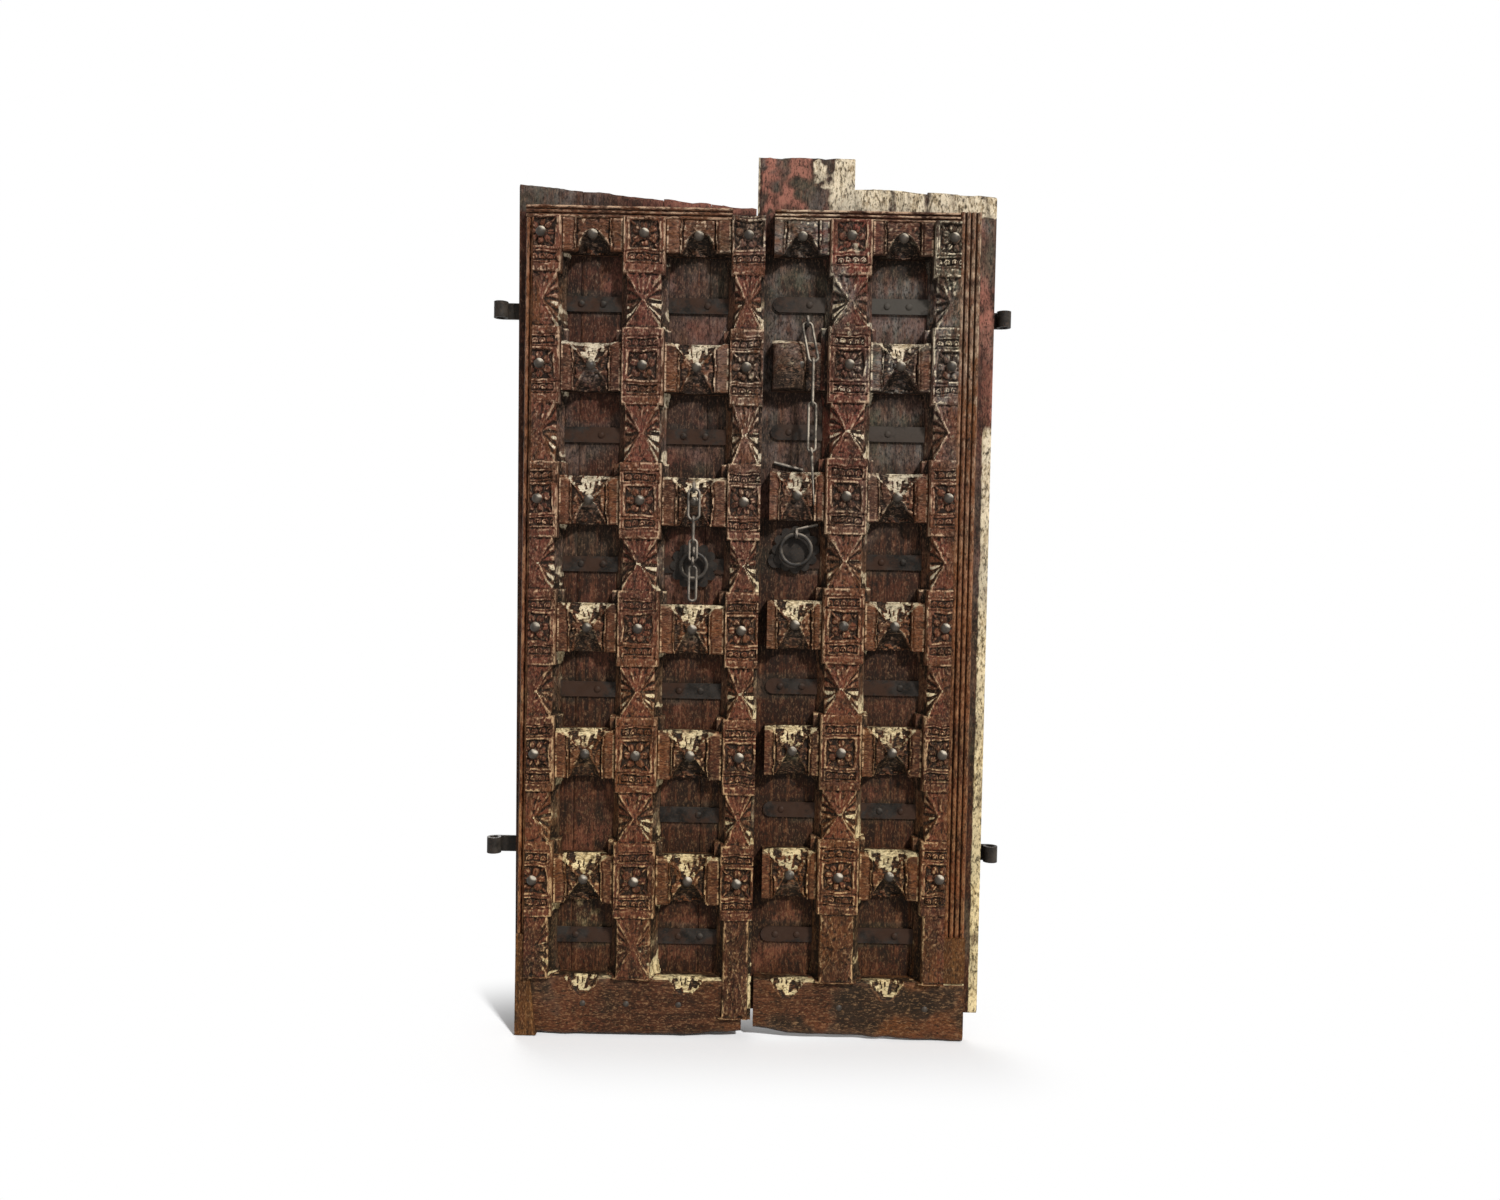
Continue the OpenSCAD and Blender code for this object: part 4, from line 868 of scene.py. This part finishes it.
def lotus(a, t, height, half_width, curve):
    """Cut, petals and mask of a bowl of petals above a stud."""
    r, half, q, open_ = opening(a, t, height, half_width, curve, NECK_SHARE)
    beads = patches(a, t, BEAD_SIZE, 57, 0.38, 0.66, 2)
    leaf = smooth(np.abs(q), 0.4, 0.18) * (1 - 0.85 * ridge(a, 2.4) * smooth(r, 0.2, 0.4))
    petal = np.maximum(leaf, beads) * smooth(r, 0.05, 0.25)
    bowl = SCOOP_DEPTH * r * np.clip(1 - q * q, 0, 1) ** 0.6
    rim = SCOOP_RIM[0] * ridge((np.abs(q) - 1) * half, SCOOP_RIM[1]) * (t > 0)
    return np.where(open_, bowl - SCOOP_PETALS * r * (petal - 0.4), 0) - rim, petal, open_

def arch(a, t, height, half_width, curve):
    """Cut, beads and mask of a dark arch below a stud."""
    r, half, q, open_ = opening(a, t, height, half_width, curve, 0)
    beads = patches(a, t, BEAD_SIZE, 58, 0.4, 0.64, 2)
    cut = ARCH_DEPTH * smooth(r, -0.1, 0.75) * np.clip(1 - q ** 6, 0, 1) - ARCH_BEADS * r * beads
    rim = ARCH_RIM[0] * ridge((np.abs(q) - 1) * half, ARCH_RIM[1]) * (t > 0)
    return np.where(open_, cut, 0) - rim, beads, open_

def below_stud(a, t, down, style):
    """Cut, painted shade and mask of what is carved below a stud: a lotus or a dark arch."""
    if style == "lotus":
        cut, petal, open_ = lotus(a, -t, down, SCOOP_HALF, SCOOP_CURVE)
        # Painted shade: the lower lotus darkens towards its bottom, less on its petals
        shade = 0.45 - 0.25 * petal + 0.6 * smooth(-t / down, 0.25, 0.9)
        return np.where(open_, cut + 3 * petal, cut), shade, open_
    lift, half_width, curve = TOP_ARCH if style == "top" else OPEN_ARCH
    cut, beads, open_ = arch(a, lift - t, down + lift, half_width, curve)
    # Painted shade: the arch is dark all over, a little less on its beads
    return cut, 0.95 - 0.4 * beads, open_

def pillow(a, t):
    """Fields of the plain swelling that has lost its carving; cream on its top is a painted highlight and the
    darkening towards its bottom is painted shade.
    """
    ball = swell((a - PILLOW_PLACE) / PILLOW_HALF) * swell(t / PILLOW_HEIGHT)
    front = RAIL_DEPTH - PILLOW_SUNK + PILLOW_SWELL * ball
    # Painted highlight of cream on the top, painted shade growing towards the bottom
    return dict(front=front, cream=0.55 * smooth(t, 6, 34), bloom=0.5, ground=0.35 + 0.6 * smooth(t, 20, -40))

def boss(a, t, up, down, style, seed):
    """Fields of a rail around one stud: leaves between two ropes, a lotus above and a scoop below."""
    a, t = bent(a, t, BOSS_BEND, seed)
    if style == "plain":
        return pillow(a, t)
    off = np.abs(a)
    upper, petal, upper_open = lotus(a, t, up, HORN_HALF, HORN_CURVE)
    if style == "top":
        upper, upper_open = np.zeros(a.shape), np.zeros(a.shape, bool)
    lower, shade, lower_open = below_stud(a, t, down, style)
    field = off < BOSS_HALF
    rope = ridge(off - BOSS_HALF - 1, ROPE_WIDTH) * (1 - upper_open)
    leaves = np.maximum(patches(a, 0.7 * t, LEAF_SIZE, seed + 2, 0.36, 0.64, 3), 0.75 * (style == "top"))
    leaves = leaves * (off < BOSS_HALF - BOSS_MARGIN)
    plain_cut = LEAF_DEPTH * (1 - leaves) * field + np.minimum(upper, lower)
    cut = np.where(upper_open, upper, np.where(lower_open, lower, plain_cut))
    front = np.where(field, RAIL_DEPTH - BOSS_SUNK, RAIL_DEPTH) - cut + ROPE_RISE * rope
    past = off - BOSS_HALF - BOSS_MARGIN
    front = front - EAR_ROUND * fall(past, EAR_REACH) ** 2 * ((past > 0) & ~upper_open)
    # Cream on the leaves fades out below the stud, so the upper half is lighter, partly as a painted
    # highlight
    plain = np.maximum(0.45 * field * leaves * smooth(t, -30, 10), 0.7 * rope) * ~lower_open
    petal_cream = 0.2 + 0.9 * smooth(petal, 0.35, 0.8) - 0.45 * noise(a, t, 16, seed + 3)
    # Painted shade of the lotus or arch below the stud; grime and painted shade in the field between the
    # leaves and between the upper petals
    ground = np.where(lower_open, shade, 0.6 * field * (1 - leaves))
    return dict(front=front, cream=np.where(upper_open, petal_cream, plain),
                bloom=np.where(lower_open, 0.9 * smooth(-t / down, 0.9, 0.2), 0.0),
                ground=np.where(upper_open, 0.7 * (1 - smooth(petal, 0.15, 0.5)), ground))

def rail_columns(left, right, laps):
    """Places of a rail's columns of points, wide apart where a pilaster laps over it."""
    edges = sorted({left, right, *(x for lap in laps for x in lap if left < x < right)})
    xs = np.array([left])
    for x0, x1 in zip(edges[:-1], edges[1:]):
        lapped = any(lap[0] <= (x0 + x1) / 2 <= lap[1] for lap in laps)
        xs = np.concatenate([xs, steps(x0, x1, LAP_PITCH if lapped else RAIL_PITCH)[1:]])
    return xs

def rail(side, k, stud, bosses, laps, styles, seed):
    """One rail across a leaf, thin where the pilasters lap over it."""
    node = f"{side}_rail_{k + 1}"
    low, high = span(node)
    xs = rail_columns(low[0], high[0], laps)
    x, z = np.meshgrid(xs, steps(low[2], high[2], RAIL_PITCH))
    face = Face(x.shape, RAIL_DEPTH, 0.3)
    from_boss = np.abs(x[None] - np.array(bosses)[:, None, None])
    for i, boss_x in enumerate(bosses):
        fields = boss(x - boss_x, z - stud, high[2] - stud, stud - low[2], styles[i], seed + 2 * i)
        face.lay(np.argmin(from_boss, 0) == i, **fields)
    front = face.front
    from_end = np.minimum(z - low[2], high[2] - z)
    front = front - RAIL_ROUND * fall(from_end, RAIL_ROUND_REACH) ** 2 * (front > SOLID_DEPTH)
    chamfer = RAIL_CHAMFER * fall(high[2] - z, RAIL_CHAMFER_REACH) * (k > 0)
    front = front - chamfer * (front > CHAMFERED_DEPTH)
    carved = smooth(np.min(from_boss, 0), BOSS_HALF + 1, BOSS_HALF - BOSS_MARGIN)
    front = front - PIT_DEPTH * pits(x, z, seed + 13) * carved * (front > SOLID_DEPTH)
    front = front - 1.8 * patches(x, z, 70, seed, 0.5, 0.78) - 1.0 * noise(x, z, 8, seed + 3)
    for lap in laps:
        front = np.where((x >= lap[0]) & (x <= lap[1]), LAP_DEPTH - LAP_GAP, front)
    front = np.maximum(front, LEAST_DEPTH)
    # Cream on the top chamfer, partly a painted highlight on the ledge that faces up
    chamfer_cream_and_highlight = 0.7 * (chamfer > 0.5) * (0.4 + 0.9 * noise(x, z, 45, seed + 5))
    fleck_cream = flecks(x, z, seed + 21) * (0.35 + 0.65 * carved) * (face.ground < 0.6)
    cream = np.maximum(np.maximum(face.cream, chamfer_cream_and_highlight), fleck_cream)
    red = np.maximum(face.red, red_at(x, z, seed + 9) * smooth(x, *RED_RAILS))
    paint = paint_of(front, cream, red, np.maximum(face.bloom, patina_at(x, z, seed + 7)), face.ground)
    relief("carved_" + node, node, xs, z, front, paint, "red_carving", RAIL_WOOD)

def panel_between(left_node, right_node):
    return (span(left_node)[1][0] + span(right_node)[0][0]) / 2

LEFT_BOSSES = [panel_between("left_side_pilaster", "left_middle_pilaster"),
               panel_between("left_middle_pilaster", "left_meeting_pilaster")]
RIGHT_BOSSES = [(span("right_rail_2")[0][0] + span("right_middle_pilaster")[0][0]) / 2,
                panel_between("right_middle_pilaster", "right_side_pilaster")]
LEFT_LAPS = [reach_of(f"left_{name}_pilaster") for name in ("side", "middle", "meeting")]
RIGHT_LAPS = [reach_of(f"right_{name}_pilaster") for name in ("middle", "side")]
LEFT_STYLES = [["top", "top"]] + [["lotus", "lotus"]] * 3 + [["lotus", "arch"], ["arch", "arch"]]
RIGHT_STYLES = [["top", "top"], ["plain", "arch"]] + [["lotus", "arch"]] * 4
for k in range(ROWS):
    rail("left", k, LEFT_ROWS[k][0], LEFT_BOSSES, LEFT_LAPS, LEFT_STYLES[k], 40 + 9 * k)
    rail("right", k, RIGHT_ROWS[k][0], RIGHT_BOSSES, RIGHT_LAPS, RIGHT_STYLES[k], 140 + 9 * k)

# Bottom rails

BOTTOM_PITCH = 2.53
BOTTOM_SCOOP_HEIGHT = 42
BOTTOM_SCOOP_HALF = 39
BOTTOM_ROUND = 9
BOTTOM_ROUND_REACH = 14
BOTTOM_CHAMFER = 6
BOTTOM_CHAMFER_REACH = 7

def bottom_rail(side, bosses, turn_x, heights, dirt, seed):
    """A bottom rail with half lotuses; heights gives its lower edge at its ends and at turn_x."""
    node = f"{side}_bottom_rail"
    low, high = span(node)
    xs = steps(low[0], high[0], BOTTOM_PITCH)
    lower = np.interp(xs, [low[0], turn_x, high[0]], heights) + 3 * noise(xs, xs * 0, 30, seed)
    z = lower + (high[2] - lower) * steps(0, 1, BOTTOM_PITCH / (high[2] - low[2]))[:, None]
    x = np.broadcast_to(xs, z.shape)
    face = Face(z.shape, BOTTOM_DEPTH, 0.2)
    for boss_x in bosses:
        stud = high[2] - BOTTOM_SCOOP_HEIGHT
        bent_x, bent_z = bent(x - boss_x, z - stud, BOSS_BEND, seed + 6)
        cut, petal, open_ = lotus(bent_x, bent_z, BOTTOM_SCOOP_HEIGHT, BOTTOM_SCOOP_HALF, SCOOP_CURVE)
        face.front = face.front - 0.8 * cut * (np.abs(x - boss_x) < BOTTOM_SCOOP_HALF + 4)
        cream = 0.25 + 0.85 * smooth(petal, 0.35, 0.8) - 0.3 * noise(x, z, 16, seed + 3)
        face.lay(open_, cream=cream, ground=0.6 * (1 - smooth(petal, 0.15, 0.5)))
    chamfer = BOTTOM_CHAMFER * fall(high[2] - z, BOTTOM_CHAMFER_REACH)
    front = face.front - BOTTOM_ROUND * fall(z - lower, BOTTOM_ROUND_REACH) ** 2
    front = front - chamfer * (face.cream < 0.2)
    front = front - 2.4 * patches(x, z, 90, seed + 2, 0.45, 0.75) - 0.8 * noise(x, z, 10, seed + 4)
    # Cream on the top chamfer, partly a painted highlight on the ledge that faces up
    cream = np.maximum(face.cream, 0.75 * (chamfer > 0.5) * (0.4 + 0.9 * noise(x, z, 60, seed + 5)))
    smudge = patches(x, z, 90, seed + 8, 0.42, 0.62)
    ground = np.maximum(face.ground, dirt * (0.25 + 0.75 * smudge))
    paint = paint_of(front, cream, face.red, 0.35 * smudge, ground)
    relief("carved_" + node, node, xs, z, front, paint, "red_carving", RAIL_WOOD)

bottom_rail("left", LEFT_BOSSES, LEFT_BOSSES[1], (4, 4, 16), 0.5, 301)
bottom_rail("right", RIGHT_BOSSES, RIGHT_BOSSES[0], (24, 13, 1), 0.75, 302)

# Planks

PLANK_PITCH = 8
PLANK_TOP_SHARE = 0.977
PLANK_TOP_STEP = 0.0022
EDGE_WEAR = 2
END_WEAR = 5
END_WEAR_REACH = 9
LEFT_FOOT_LEAN = 15
RIGHT_FOOT_DROP = 5
TALL_LEFT, TALL_RIGHT = reach_of("right_plank_1")
STRIP_LEFT = span("left_side_moulding")[0][0]
STRIP_RIGHT = span("right_side_moulding")[1][0]
STRIP_SOFT = 4
STRIP_CREAM = (13, 18)
STRIP_RED_LOW = 1376
STRIP_RED_SOFT = 40
# Reach and wander of the soot and painted shadow below the rails
SOOT_AND_SHADOW_REACH = 44
SOOT_AND_SHADOW_WANDER = 26
DIRT_REACH = (34, 24)
PANEL_PATCHES = [(-345, 1705, 36, 44), (-345, 262, 42, 66)]

def strap_heights(rows):
    """Heights of the iron straps: halfway between the studs of one row and the next."""
    feet = [row[0] for row in rows[1:]] + [rows[-1][1] + BOTTOM_TOP - rows[-1][0]]
    return [(row[0] + foot) / 2 for row, foot in zip(rows, feet)]

def top_paint(x, z, streak):
    """Cream, red, dull bloom and grey bloom of the planks' tops above the frame."""
    tall = inside(x, TALL_LEFT - 1, TALL_RIGHT + 1)
    left = x < TALL_LEFT
    from_middle = x - (TALL_LEFT + TALL_RIGHT) / 2 + 150 * (fractal(x, z * 0.8, 45, 81) - 0.5)
    core = smooth(from_middle, 45, 20) * smooth(x, TALL_LEFT + 4, TALL_LEFT + 12)
    grey = patches(x, z * 0.7, 34, 83, 0.44, 0.6)
    cream = np.where(tall, 0.8 * (1 - core), np.where(left, 0.35 * streak, 0.86 - 0.22 * streak))
    red = np.where(tall, core * (1 - 0.7 * grey), np.where(left, 0.8 * smooth(x, -420, -150), 0.2))
    return cream, red, 0.7 * left * smooth(x, -250, -430), 0.75 * tall * core * grey

def strip_paint(x, z):
    """Cream, red and bloom of the strip of plank beside the right moulding."""
    strip = smooth(x, STRIP_RIGHT - STRIP_SOFT, STRIP_RIGHT)
    outer = smooth(x - STRIP_RIGHT, *STRIP_CREAM)
    height = z + 60 * (fractal(x, z, 80, 85) - 0.5) - STRIP_RED_LOW
    lower = smooth(height, STRIP_RED_SOFT, -STRIP_RED_SOFT)
    flaky = patches(x, z * 0.4, 46, 86, 0.4, 0.56)
    red = strip * (1 - lower) * (0.68 + 0.3 * patches(x, z * 0.15, 22, 84, 0.4, 0.6))
    return strip * lower * outer * (0.76 + 0.22 * flaky), red, 0.45 * strip * lower * (1 - flaky)

def panel_dirt_and_shadow(x, z):
    """Dirt along the straps, and soot with a painted shadow below the rails, each from 0 to 1."""
    rows = LEFT_ROWS if np.mean(x) < TALL_LEFT else RIGHT_ROWS
    wander = noise(x, z, 60, 93) - 0.5
    from_strap = np.min([np.abs(z - height + 8 * wander) for height in strap_heights(rows)], 0)
    # Soot and a painted shadow on each panel just below its rail
    below_rail = [row[1] - z + SOOT_AND_SHADOW_WANDER * wander for row in rows]
    soot_and_shadow = np.max([smooth(gap, SOOT_AND_SHADOW_REACH, 4) * (gap > -12) for gap in below_rail], 0)
    return smooth(from_strap, *DIRT_REACH), soot_and_shadow * (0.6 + 0.4 * upper_right(x, z))

def plank_paint(x, z):
    """Paint left on a plank: its top, the strips beside the mouldings and the panels."""
    above = smooth(z, FRAME_TOP - 8, FRAME_TOP)
    below = 1 - above
    streak = patches(x, z * 0.1, 11, 77, 0.42, 0.62)
    top_cream, top_red, dull, grey = top_paint(x, z, streak)
    strip_cream, strip_red, strip_bloom = strip_paint(x, z)
    dirt, soot_and_shadow = (field * below * inside(x, STRIP_LEFT, STRIP_RIGHT) for field in panel_dirt_and_shadow(x, z))
    left_strip = smooth(x, STRIP_LEFT, STRIP_LEFT - STRIP_SOFT)
    cream = np.maximum(top_cream * above, strip_cream * below)
    cream = np.maximum(cream, 0.5 * left_strip * patches(x, z, 120, 88, 0.5, 0.6))
    for patch_x, patch_z, wide, high in PANEL_PATCHES:
        away = np.hypot((x - patch_x) / wide, (z - patch_z) / high) + 2.2 * (fractal(x, z, 42, 99) - 0.5)
        cream = np.maximum(cream, 0.58 * smooth(away, 1.3, 0.1))
    panel_red = 0.15 + 0.45 * patches(x, z, 120, 98, 0.48, 0.62)
    panel_red = np.maximum(panel_red, 0.4 * red_at(x, z, 97) * smooth(x, 140, 90))
    red = np.maximum(top_red * above + panel_red * below, strip_red * below)
    bloom = np.clip(1.3 * patina_at(x, z, 91), 0, 1) * (0.6 + 0.4 * streak)
    spots = patches(x, z, 110, 96, 0.52, 0.66) * (0.05 + 0.35 * smooth(z, 800, 1300))
    for layer in (dull * above, 0.45 * dirt * patches(x, z, 70, 95, 0.4, 0.6), spots * below):
        bloom = np.maximum(bloom, layer)
    bloom = bloom * (1 - 0.8 * np.maximum(cream, red * above))
    bloom = np.maximum(np.maximum(bloom, grey * above), strip_bloom * below)
    # Dirt along the straps, and soot with a painted shadow below the rails, darken the panels
    return np.stack([cream, red, 0.5 - np.maximum(0.2 * dirt, 0.36 * soot_and_shadow), bloom * (1 - 0.6 * soot_and_shadow)], 2)

def plank_back_paint(x, z):
    """Bare wood of a plank's back, with stains and a little cream at its top."""
    stain = patches(x, z, 170, 71, 0.45, 0.65)
    cream = 0.45 * smooth(z, FRAME_TOP - 30, FRAME_TOP + 40)
    return np.stack([cream, 0.1 + 0 * stain, 0.52 - 0.16 * stain, 0.5 * stain], 2)

def plank_hollows(x, z, seed):
    return 1.3 * fractal(x, z * 0.15, 40, seed) + 0.4 * noise(x, z * 0.1, 12, seed + 4)

def plank(node, slope, seed, foot_lean=0.0, foot_drop=0.0):
    """A plank with a worn, sloping top, rounded edges and shallow hollows on both faces."""
    low, high = span(node)
    inner = steps(low[0] + EDGE_WEAR, high[0] - EDGE_WEAR, PLANK_PITCH)
    xs = np.concatenate([[low[0]], inner, [high[0]]])
    body = steps(0, PLANK_TOP_SHARE - 0.002, PLANK_PITCH / (high[2] - low[2]))
    share = np.concatenate([body, steps(PLANK_TOP_SHARE, 1, PLANK_TOP_STEP)])[:, None]
    chips = 3.5 * patches(xs, xs * 0, 34, seed, 0.42, 0.75) + 1.2 * noise(xs, xs * 0, 7, seed + 4)
    upper = high[2] + np.minimum(slope * (xs - low[0]), 0) - chips
    lower = low[2] - foot_drop + 4 * patches(xs, xs * 0, 40, seed + 7, 0.45, 0.75)
    z = lower + (upper - lower) * share
    x = xs + foot_lean * (1 - share) * (high[0] - xs) / (high[0] - low[0])
    from_end = np.minimum(upper - z, z - lower)
    from_edge = np.minimum(xs - low[0], high[0] - xs)
    worn = END_WEAR * fall(from_end, END_WEAR_REACH) ** 2 + 1.2 * fall(from_edge, EDGE_WEAR)
    front = PLANK_FRONT + worn + plank_hollows(x, z, seed + 11)
    back = PLANK_FRONT + PLANK_THICKNESS - worn - plank_hollows(x, z, seed + 21)
    shape = Shape()
    faces = (np.stack([x, y, z], 2) for y in (front, back))
    shape.closed(*faces, plank_paint(x, z), plank_back_paint(x, z))
    shape.piece("worn_" + node, node, leaf_of(node), "planks", PLANK_WOOD)

def top_slope(first, second):
    (low_a, high_a), (low_b, high_b) = span(first), span(second)
    return (high_b[2] - high_a[2]) / (low_b[0] - low_a[0])

left_slope = top_slope("left_plank_1", "left_plank_2")
for number in range(1, 5):
    plank(f"left_plank_{number}", left_slope, 400 + 40 * number, foot_lean=LEFT_FOOT_LEAN * (number == 1))
right_slope = top_slope("right_plank_2", "right_plank_3")
for number in range(1, 4):
    plank(f"right_plank_{number}", right_slope * (number > 1), 600 + 40 * number, foot_drop=RIGHT_FOOT_DROP)

# Reeded mouldings

REED_PITCH = 1.7
REED_ALONG_PITCH = 7
REED_ROUND = 9
REED_FULLNESS = 0.96

def moulding(node, reeds, upright, seed):
    """A strip of round reeds, upright or lying, with worn places along it."""
    low, high = span(node)
    xs = steps(low[0], high[0], REED_PITCH if upright else REED_ALONG_PITCH)
    x, z = np.meshgrid(xs, steps(low[2], high[2], REED_ALONG_PITCH if upright else REED_PITCH))
    share = (x - low[0]) / (high[0] - low[0]) if upright else (z - low[2]) / (high[2] - low[2])
    phase = (share * reeds * 0.9999) % 1 * 2 - 1
    front = MOULDING_DEPTH - REED_ROUND * (1 - np.sqrt(1 - REED_FULLNESS * phase ** 2))
    front = front - 2.2 * patches(x, z, 70, seed, 0.5, 0.75) - 1.2 * noise(x, z, 14, seed + 3)
    paint = paint_of(front, 0.2, 0.35, 0.4 * patina_at(x, z, seed + 5))
    slot, material = ("red_carving", MOULDING_WOOD) if upright else ("carving", RAIL_WOOD)
    relief("worn_" + node, node, xs, z, front, paint, slot, material)

moulding("left_side_moulding", 2, True, 811)
moulding("right_side_moulding", 4, True, 812)
moulding("left_top_moulding", 3, False, 813)
moulding("right_top_moulding", 3, False, 814)

# Nails of the iron straps

NAIL_RADIUS = 8
NAIL_HEIGHT = 4
NAIL_SHARES = (0.3, -0.42)
PANEL_HALF = (span("left_middle_pilaster")[0][0] - span("left_side_pilaster")[1][0]) / 2

def strap_nails(side, rows, middles, bare, seed):
    """One or two nail heads on a strap in each panel; bare lists the row and column of those without."""
    shape = Shape()
    for k, height in enumerate(strap_heights(rows)):
        for i, middle in enumerate(middles):
            shares = () if (k, i) in bare else NAIL_SHARES[:1 + (k + i + seed) % 2]
            for share in shares:
                x = middle + PANEL_HALF * share * (1 if (k + seed) % 3 else -1)
                shape.dome(x, height, STRAP_DEPTH, NAIL_RADIUS, NAIL_HEIGHT)
    shape.piece(f"{side}_strap_nails", None, f"{side}_leaf", "iron", STRAP_IRON)

strap_nails("left", LEFT_ROWS, LEFT_BOSSES, [(2, 1), (4, 0)], 1)
strap_nails("right", RIGHT_ROWS, RIGHT_BOSSES, [(2, 0)], 2)

# Pieces that keep their packed form

KEPT_MATERIALS = [("studs", STUD_IRON), ("straps", STRAP_IRON), ("_ring$", RING_IRON),
                  ("^right_link|^right_chain_pin$", CHAIN_IRON), ("plate|hinge", PLATE_IRON),
                  ("repair", REPAIR_WOOD), ("", IRON)]

for name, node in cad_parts.items():
    node.data.materials.clear()
    fitting = next(material for words, material in KEPT_MATERIALS if re.search(words, name))
    node.data.materials.append(fitting)

# Stage, in metres

FLOOR_HALF = 30
FLOOR_WHITE = (0.98, 0.98, 0.98)
FOOT_HALF = 0.5
SHADOW_REACH = (0.02, 0.35)
SKY_LIGHT = 0.2
WHITE = (1, 1, 1)

def paper_white():
    """A floor that is white from afar and takes the door's shadow nearby."""
    n = Nodes(bpy.data.materials.new("white_floor"))
    place = n.axes(n.where())
    past_end = n.math("MAXIMUM", n.math("SUBTRACT", n.math("ABSOLUTE", place["X"]), FOOT_HALF), 0.0)
    beside = n.add("ShaderNodeCombineXYZ", {"X": past_end, "Y": place["Y"]}).outputs["Vector"]
    away = n.add("ShaderNodeVectorMath", {0: beside}, operation="LENGTH").outputs["Value"]
    glow = n.add("ShaderNodeEmission", {"Color": WHITE, "Strength": 1.0})
    matt = n.add("ShaderNodeBsdfDiffuse", {"Color": FLOOR_WHITE})
    far = n.times(n.seen(), n.step(away, *SHADOW_REACH))
    both = n.add("ShaderNodeMixShader", {0: far, 1: matt.outputs[0], 2: glow.outputs[0]})
    n.put(n.tree.nodes["Material Output"].inputs["Surface"], both.outputs[0])
    n.tree.nodes.remove(n.tree.nodes["Principled BSDF"])
    return n.owner

def white_floor():
    mesh = bpy.data.meshes.new("floor")
    corners = [(-1, -1), (1, -1), (1, 1), (-1, 1)]
    mesh.from_pydata([(FLOOR_HALF * x, FLOOR_HALF * y, 0) for x, y in corners], [], [(0, 1, 2, 3)])
    mesh.materials.append(paper_white())
    floor = new_object("floor", mesh)

def white_sky():
    """A sky that is white where it is seen and gives a low, even light."""
    n = Nodes(bpy.data.worlds.new("studio"))
    bpy.context.scene.world = n.owner
    strength = n.add("ShaderNodeMapRange", {"Value": n.seen(), "To Min": SKY_LIGHT, "To Max": 1.0})
    sky = n.tree.nodes["Background"].inputs
    n.put(sky["Color"], WHITE)
    n.put(sky["Strength"], strength.outputs["Result"])

def soft_sun(name, came_from, strength, spread):
    """A sun lamp that shines from a direction, with a spread in degrees."""
    data = bpy.data.lights.new(name, "SUN")
    data.energy = strength
    data.angle = math.radians(spread)
    turned = Vector(came_from).to_track_quat("Z", "Y").to_matrix().to_4x4()
    new_object(name, data).matrix_world = turned

white_floor()
white_sky()
soft_sun("key", (0.55, -1.0, 0.85), 3.55, 5)
soft_sun("fill", (-0.45, 1.0, 0.35), 1.6, 40)

# Camera, solved from the photograph's measured corners

IMAGE_WIDTH = 1500
FOCAL_PIXELS = 1120.3
SENSOR_WIDTH = 36
CAMERA_PLACE = (0.0, -2.5, 1.0516)
CAMERA_YAW = 0.0026
CAMERA_PITCH = -0.0282
CAMERA_ROLL = 0.0196

def photo_camera():
    data = bpy.data.cameras.new("camera")
    data.sensor_fit = "HORIZONTAL"
    data.sensor_width = SENSOR_WIDTH
    data.lens = FOCAL_PIXELS / IMAGE_WIDTH * SENSOR_WIDTH
    aim = Matrix.Rotation(-CAMERA_YAW, 4, "Z") @ Matrix.Rotation(math.pi / 2 + CAMERA_PITCH, 4, "X")
    camera = new_object("camera", data)
    camera.matrix_world = Matrix.Translation(CAMERA_PLACE) @ aim @ Matrix.Rotation(CAMERA_ROLL, 4, "Z")
    bpy.context.scene.camera = camera

photo_camera()
bpy.context.scene.view_settings.view_transform = "Standard"
